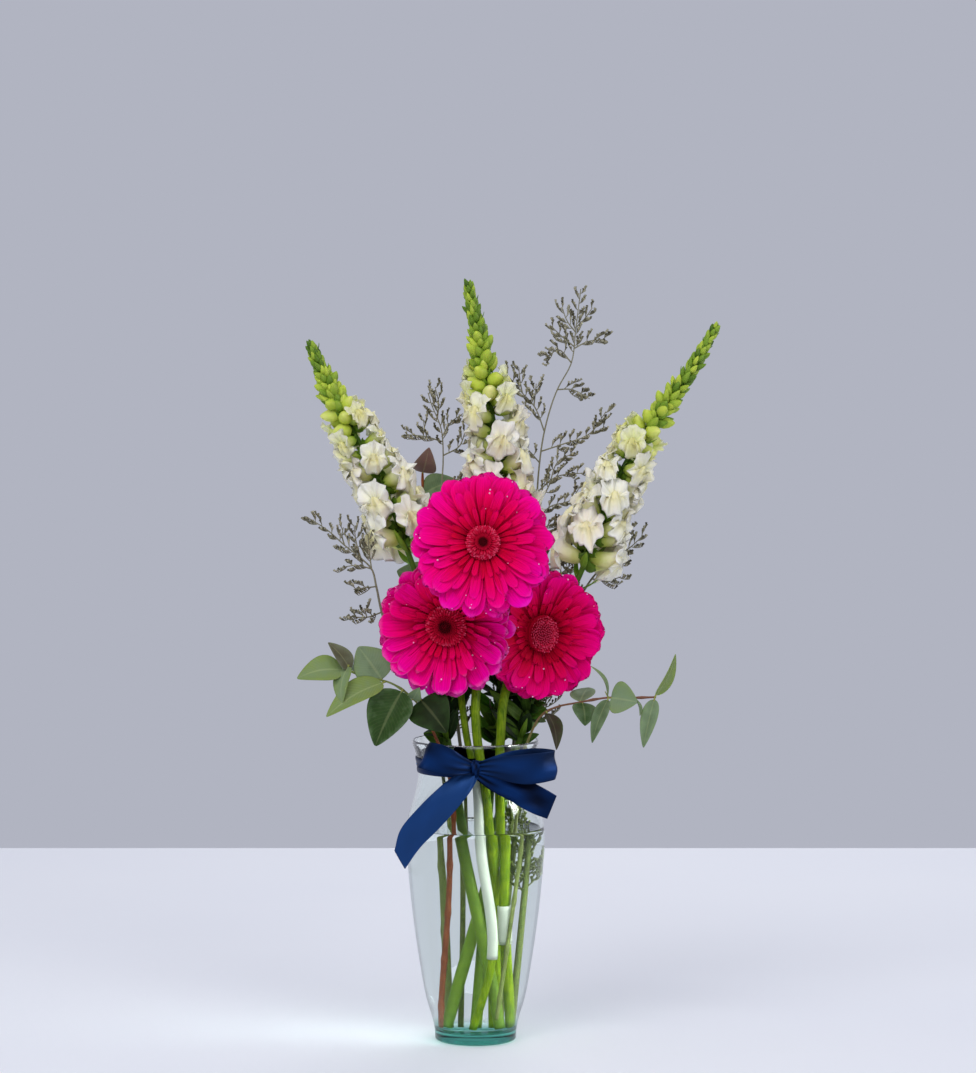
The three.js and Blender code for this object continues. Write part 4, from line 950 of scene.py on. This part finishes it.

# ---------------------------------------------------------------- eucalyptus
# Three pieces of eucalyptus: a red-brown woody stem, greener on the right, knobbed where it once bore
# leaves, and waxy leaves with a pale midrib, from light grey-green to dark olive. One is at the back.

# Each leaf: base, tip, width, the way its upper face looks, its tone, from 0 dark olive over 0.4
# grey-green and 0.6 dull yellow-green to 1 light green, and its share of mauve. The darkest tones,
# given to the low leaves under the heads, are partly painted shade. Of each stem, wood is the share of
# brown in its bark, and green the heights between which it turns green.
eucalyptuses = dict(
    left=dict(
        stem=[(-25, -7, 13), (-18, -17, 175), (-21, -24, 226), (-31, -29, 256), (-51, -22, 292),
              (-70, -20, 306), (-92, -19, 312), (-112, -20, 319)], thick=2.3, wood=1.0, green=(262, 300),
        leaves=[
            ((-110, -21, 318), (-150, -25, 311), 24, (-0.1, -0.8, 0.6), 0.5, 0),
            ((-105, -20, 317), (-124, -22, 341), 15, (0.5, -0.8, 0.3), 0.24, 0.4),
            ((-107, -21, 322), (-112, -36, 289), 15, (-0.5, -0.8, 0.4), 0.46, 0),
            ((-78, -19, 308), (-99, -6, 336), 32, (0.2, -0.95, 0.2), 0.38, 0),
            ((-76, -20, 308), (-124.8, -38, 280), 23, (0, -0.7, 0.7), 0.54, 0),
            ((-61, -22, 302), (-84, -34, 255), 36, (-0.2, -0.95, 0.3), 0.15, 0),
            ((-47, -24, 294), (-24, -42, 267), 34, (0, -1, 0.3), 0.0, 0),
            ((-53, -23, 293), (-47, -34, 304), 11, (0.1, -1, 0.1), 0.4, 0),
            ((-92, -18, 312), (-104, 14, 318), 22, (-0.2, 0.1, 1), 0.3, 0)]),
    right=dict(
        stem=[(16, -22, 22), (33, -14, 175), (38, -12, 226), (44, -14, 256), (58.7, -14, 281),
              (66, -16, 285), (88, -22, 290.5), (112, -27, 295), (135, -28, 295), (152, -28, 295.5)],
        thick=1.8, wood=0.45, green=(300, 230),
        leaves=[
            ((60, -15, 282), (68, -36, 252), 14, (0.5, -0.8, 0.2), 0.0, 0.2),
            ((112, -27, 295), (97, -32, 322), 9, (0.8, -0.3, 0.5), 0.45, 0),
            ((90, -22, 291), (92, -34, 272), 20, (0.3, -0.9, 0.2), 0.2, 0),
            ((112, -27, 295), (98, -38, 258), 13, (-0.5, -0.8, -0.1), 0.26, 0),
            ((113, -27, 295), (136, -36, 292), 26, (0, -0.95, 0.3), 0.4, 0),
            ((134, -28, 295), (138, -38, 281), 9, (0.9, -0.3, 0.2), 0.4, 0),
            ((151, -28, 295.5), (168, -31, 332), 12, (0.7, -0.6, 0.2), 0.55, 0),
            ((151, -28, 295.5), (141, -38, 254), 14, (-0.4, -0.9, 0), 0.34, 0),
            ((88, -21, 290.5), (96, 8, 300), 20, (0, 0.1, 1), 0.3, 0)]),
    back=dict(
        stem=[(-14, 22, 13), (-20, 24, 175), (-22, 30, 226), (-26, 38, 256), (-44, 66, 400),
              (-46, 72, 462), (-46, 70, 490)], thick=2.0, wood=1.0, green=(300, 230),
        leaves=[
            ((-46, 71, 480), (-40, 50, 503), 19, (0.1, -1, 0.2), 0.3, 1),
            ((-46, 72, 462), (-16, 68, 474), 22, (0, -0.9, 0.5), 0.32, 0),
            ((-45, 70, 440), (-66, 78, 462), 24, (0, 0.9, 0.5), 0.35, 0),
            ((-44, 67, 405), (-20, 84, 420), 26, (0.1, 0.9, 0.5), 0.3, 0),
            ((-42, 63, 385), (-68, 66, 396), 26, (-0.2, -0.8, 0.6), 0.4, 0),
            ((-36, 53, 335), (-58, 68, 344), 30, (-0.2, 0.6, 0.8), 0.2, 0),
            ((-36, 53, 335), (-14, 74, 340), 28, (0.2, 0.6, 0.8), 0.25, 0)]),
)

leaf_finish, start = blank_finish("eucalyptus_leaf")
tone, mauve, wood, green_wood, share, across = reads(
    start, "tone", "mauve", "wood", "green_wood", "along", "across")
mottle, squared = noise(start, 140.0), across * across
# The lowest stops are dark enough to paint the shade on the low leaves under the heads.
by_tone_and_shade = ramp(tone + 0.2 * (mottle - 0.5) + 0.1 * squared, (0.0, "1c2810"), (0.18, "324a22"),
               (0.4, "788c6a"), (0.6, "7c8e4c"), (0.8, "92a452"), (1.0, "a8b86a"))
reddened = blend(mauve * 0.75, by_tone_and_shade, "7c4e56")
vein = rescale(start.math("SINE", share * 95.0 - start.math("ABSOLUTE", across) * 26.0), 0.5, 1.0, 0.0, 0.14)
rib = rescale(squared, 0.0, 0.008, 0.24, 0.0)
veined = blend(rib * (tone + 0.3), blend(vein * tone, reddened, "c9d29a"), "c4cc90")
bark, green_bark = blend(mottle, "5a2818", "a8623c"), blend(mottle, "5c6a34", "8d9656")
surface(start, blend(green_wood, blend(wood, veined, bark), green_bark), 0.5, 0.08,
        scatter=(0.06, (0.5, 1.0, 0.2), 0.002), bump=(0.3, 0.0004, mottle + vein * 1.5))

STEM_POINTS, KNOB_EVERY = 150, 17
for place, branch in eucalyptuses.items():
    stem = flow(branch["stem"], STEM_POINTS)
    thick = np.interp(stem[:, 2], [0, 230, 285], [branch["thick"], branch["thick"] * 0.8, 0.85])
    knobs = np.exp(-((np.mod(np.arange(STEM_POINTS), KNOB_EVERY) - 8) / 1.6) ** 2)
    green_wood = smooth(stem[:, 2], *branch["green"])[None, :, None]
    base, tip, width, faces, tone, mauve = (
        np.array(column, float) for column in zip(*branch["leaves"]))
    stalk = base + 0.05 * (tip - base)
    rng = np.random.default_rng(len(place))
    blades, notes = leaves(
        stalk, tip, faces, 1.04 * width, (0.64, 0.8), rng.uniform(0.03, 0.16, (len(tip), 1)),
        rng.uniform(0.08, 0.4, (len(tip), 1, 1)), 0.7, 18, 16)
    stalks = tube(np.stack([base, 0.5 * (base + stalk), stalk, base + 0.2 * (tip - base)], 1),
                  np.array([1.1, 0.8, 0.75, 0.3]), 8)
    skin(f"eucalyptus_{place}_sprig", [
        (tube(stem, thick + 0.5 * knobs, 10), dict(wood=branch["wood"], mauve=0.8, green_wood=green_wood)),
        (blades, dict(tone=tone[:, None, None], mauve=mauve[:, None, None], **notes)),
        (stalks, dict(tone=0.75, across=1.0, wood=0.25))],
        leaf_finish, [f"eucalyptus_{place}"])

# ---------------------------------------------------------------- ribbon
# A navy satin ribbon, 25 mm wide: one turn round the glass neck, a knot in front, two flat loops and
# two tails with plain cut ends that hang over the shoulder of the vase.

satin_finish, start = blank_finish("navy_satin")
across, sheen, fold = reads(start, "across", "sheen", "fold")
threads = start.node("TexWave", {"wave_type": "BANDS", "bands_direction": "X"}, {
    "Vector": start.node("CombineXYZ", inputs={0: across * 12.0}),
    "Scale": 3.0, "Distortion": 0.6, "Detail": 1.0})
crumple = noise(start, 45.0, 2.0)
# Painted shade and light: the satin is near black where a fold or crease sinks below the face and navy where
# it stands out.
fold_shade = rescale(fold + 0.5 * (crumple - 0.5), -0.7, 0.9, kind="LINEAR")
# A lighter blue is painted on where a strip's sheen is set: a painted sheen.
surface(start, blend(sheen, blend(fold_shade, "01091e", "06285a"), "1f437a"), 0.4, 0.06,
        bump=(0.3, 0.0008, crumple + threads * 0.08), metallic=0.3)


def ribbon_strip(rows, count, ripple, sheen, looped, thick=0.7):
    """A strip of ribbon. Each row holds the place of its middle line and half its width as a vector.
    The strip ripples along its length as two sines that lag across it, and lies still at its ends.
    Where it comes out of the knot it is pleated as a cosine across it."""
    path = flow(rows, count)
    middle, half = path[:, :3], path[:, 3:]
    face = unit(np.cross(np.gradient(middle, axis=0), half))
    turn = circle(26)
    across = np.clip(1.02 * np.sign(np.cos(turn)) * np.abs(np.cos(turn)) ** 0.8, -1, 1)
    share = np.linspace(0, 1, count)[:, None]
    to_knot = run(middle)[:, None]
    if looped:
        to_knot = np.minimum(to_knot, to_knot[-1] - to_knot)
    pleats = np.cos(3.4 * np.pi * (across + 0.15)) * np.exp(-(to_knot / 17) ** 2) * smooth(to_knot, 0, 4)
    wave = (ripple * np.sin(5.3 * share + 2.6 * across) * np.sin(np.pi * share)
            + 0.5 * ripple * np.sin(13 * share - 4.1 * across) * np.sin(np.pi * share) + 1.5 * pleats)
    rings = (middle[:, None] + across[:, None] * half[:, None]
             + (wave + thick / 2 * np.sin(turn))[..., None] * face[:, None])
    return rings[None], dict(across=across, sheen=sheen, fold=wave)


left_loop = [
    (0, -57, 239, 0, 0, 4), (-12, -63, 242, 0.5, 0, 8.5), (-28, -66, 247, 3.5, 0, 11.5),
    (-41, -62, 250, 5.5, 0, 10.5), (-43, -57.5, 250, 5.5, 0, 10.5), (-30, -55.5, 247, 3.5, 0, 11),
    (-14, -56.5, 242, 1, 0, 8.5), (-2, -56, 239, 0, 0, 4.5)]
right_loop = [
    (0, -57, 239, 0, 0, 4), (14, -63, 240, 0, 0, 8), (38, -68, 239, -1, 0, 12.3),
    (60, -66, 241, 0, 1, 12.4), (67, -60, 242, 0, 2, 11.8), (58, -55, 243, 0, 1, 12),
    (30, -56, 242, 0, 0, 11), (2, -56, 239, 0, 0, 4.5)]
left_tail = [
    (0, -56, 237, 3.5, 0, -4), (-10.8, -60, 227, 8.5, -3, -4.5), (-24.2, -60, 213, 9.4, -4, -6.5),
    (-38.8, -56, 197, 10, -4, -6.8), (-54.6, -50, 178, 8.5, -4, -6.5), (-63.5, -44, 160, 4.5, -2, -7.5)]
right_tail = [
    (0, -56, 237, 3, 0, 5), (14, -60, 231, 5, 0, 8), (36, -62, 221, 6, 1, 9.5),
    (52, -60, 212, 5.5, 2, 10), (64, -57, 206, 4, 2, 9.5)]

BAND_FROM, BAND_TO = 229.6, 242.4
band_height = np.linspace(BAND_FROM, BAND_TO, 15)
against = np.interp(band_height, glass_outside[:, 1], glass_outside[:, 0])
folds = 0.45 * np.abs(np.sin((band_height - BAND_FROM) * np.pi / 4.3))
band = turned(np.concatenate([
    np.stack([against + 0.3, band_height], 1)[::-1],
    np.stack([against + 0.95 + folds, band_height], 1)]), 96)
band = np.concatenate([band, band[:, :1]], 1)

around_knot = circle(48)
down_knot = np.linspace(0.06, 0.94, 22)[:, None] * np.pi
creases = 0.5 * np.sin(5 * around_knot + 3 * down_knot) + 0.3 * np.sin(9 * around_knot - 4 * down_knot)
knot = xyz(
    (5.6 + creases) * np.sin(down_knot) * np.cos(around_knot),
    -56.5 + (5.0 + creases) * np.sin(down_knot) * np.sin(around_knot),
    238.5 - (7.0 + 0.4 * creases) * np.cos(down_knot))[None]
# Each strip's fourth number is its share of painted sheen, most on the left tail.
bow = skin("satin_bow", [
    (band, dict(fold=0.3)), (knot, dict(fold=creases)),
    ribbon_strip(left_loop, 80, 0.7, 0.1, True), ribbon_strip(right_loop, 90, 0.9, 0.15, True),
    ribbon_strip(left_tail, 70, 0.9, 0.75, False), ribbon_strip(right_tail, 60, 0.9, 0.0, False)],
    satin_finish, ["ribbon_bow"])
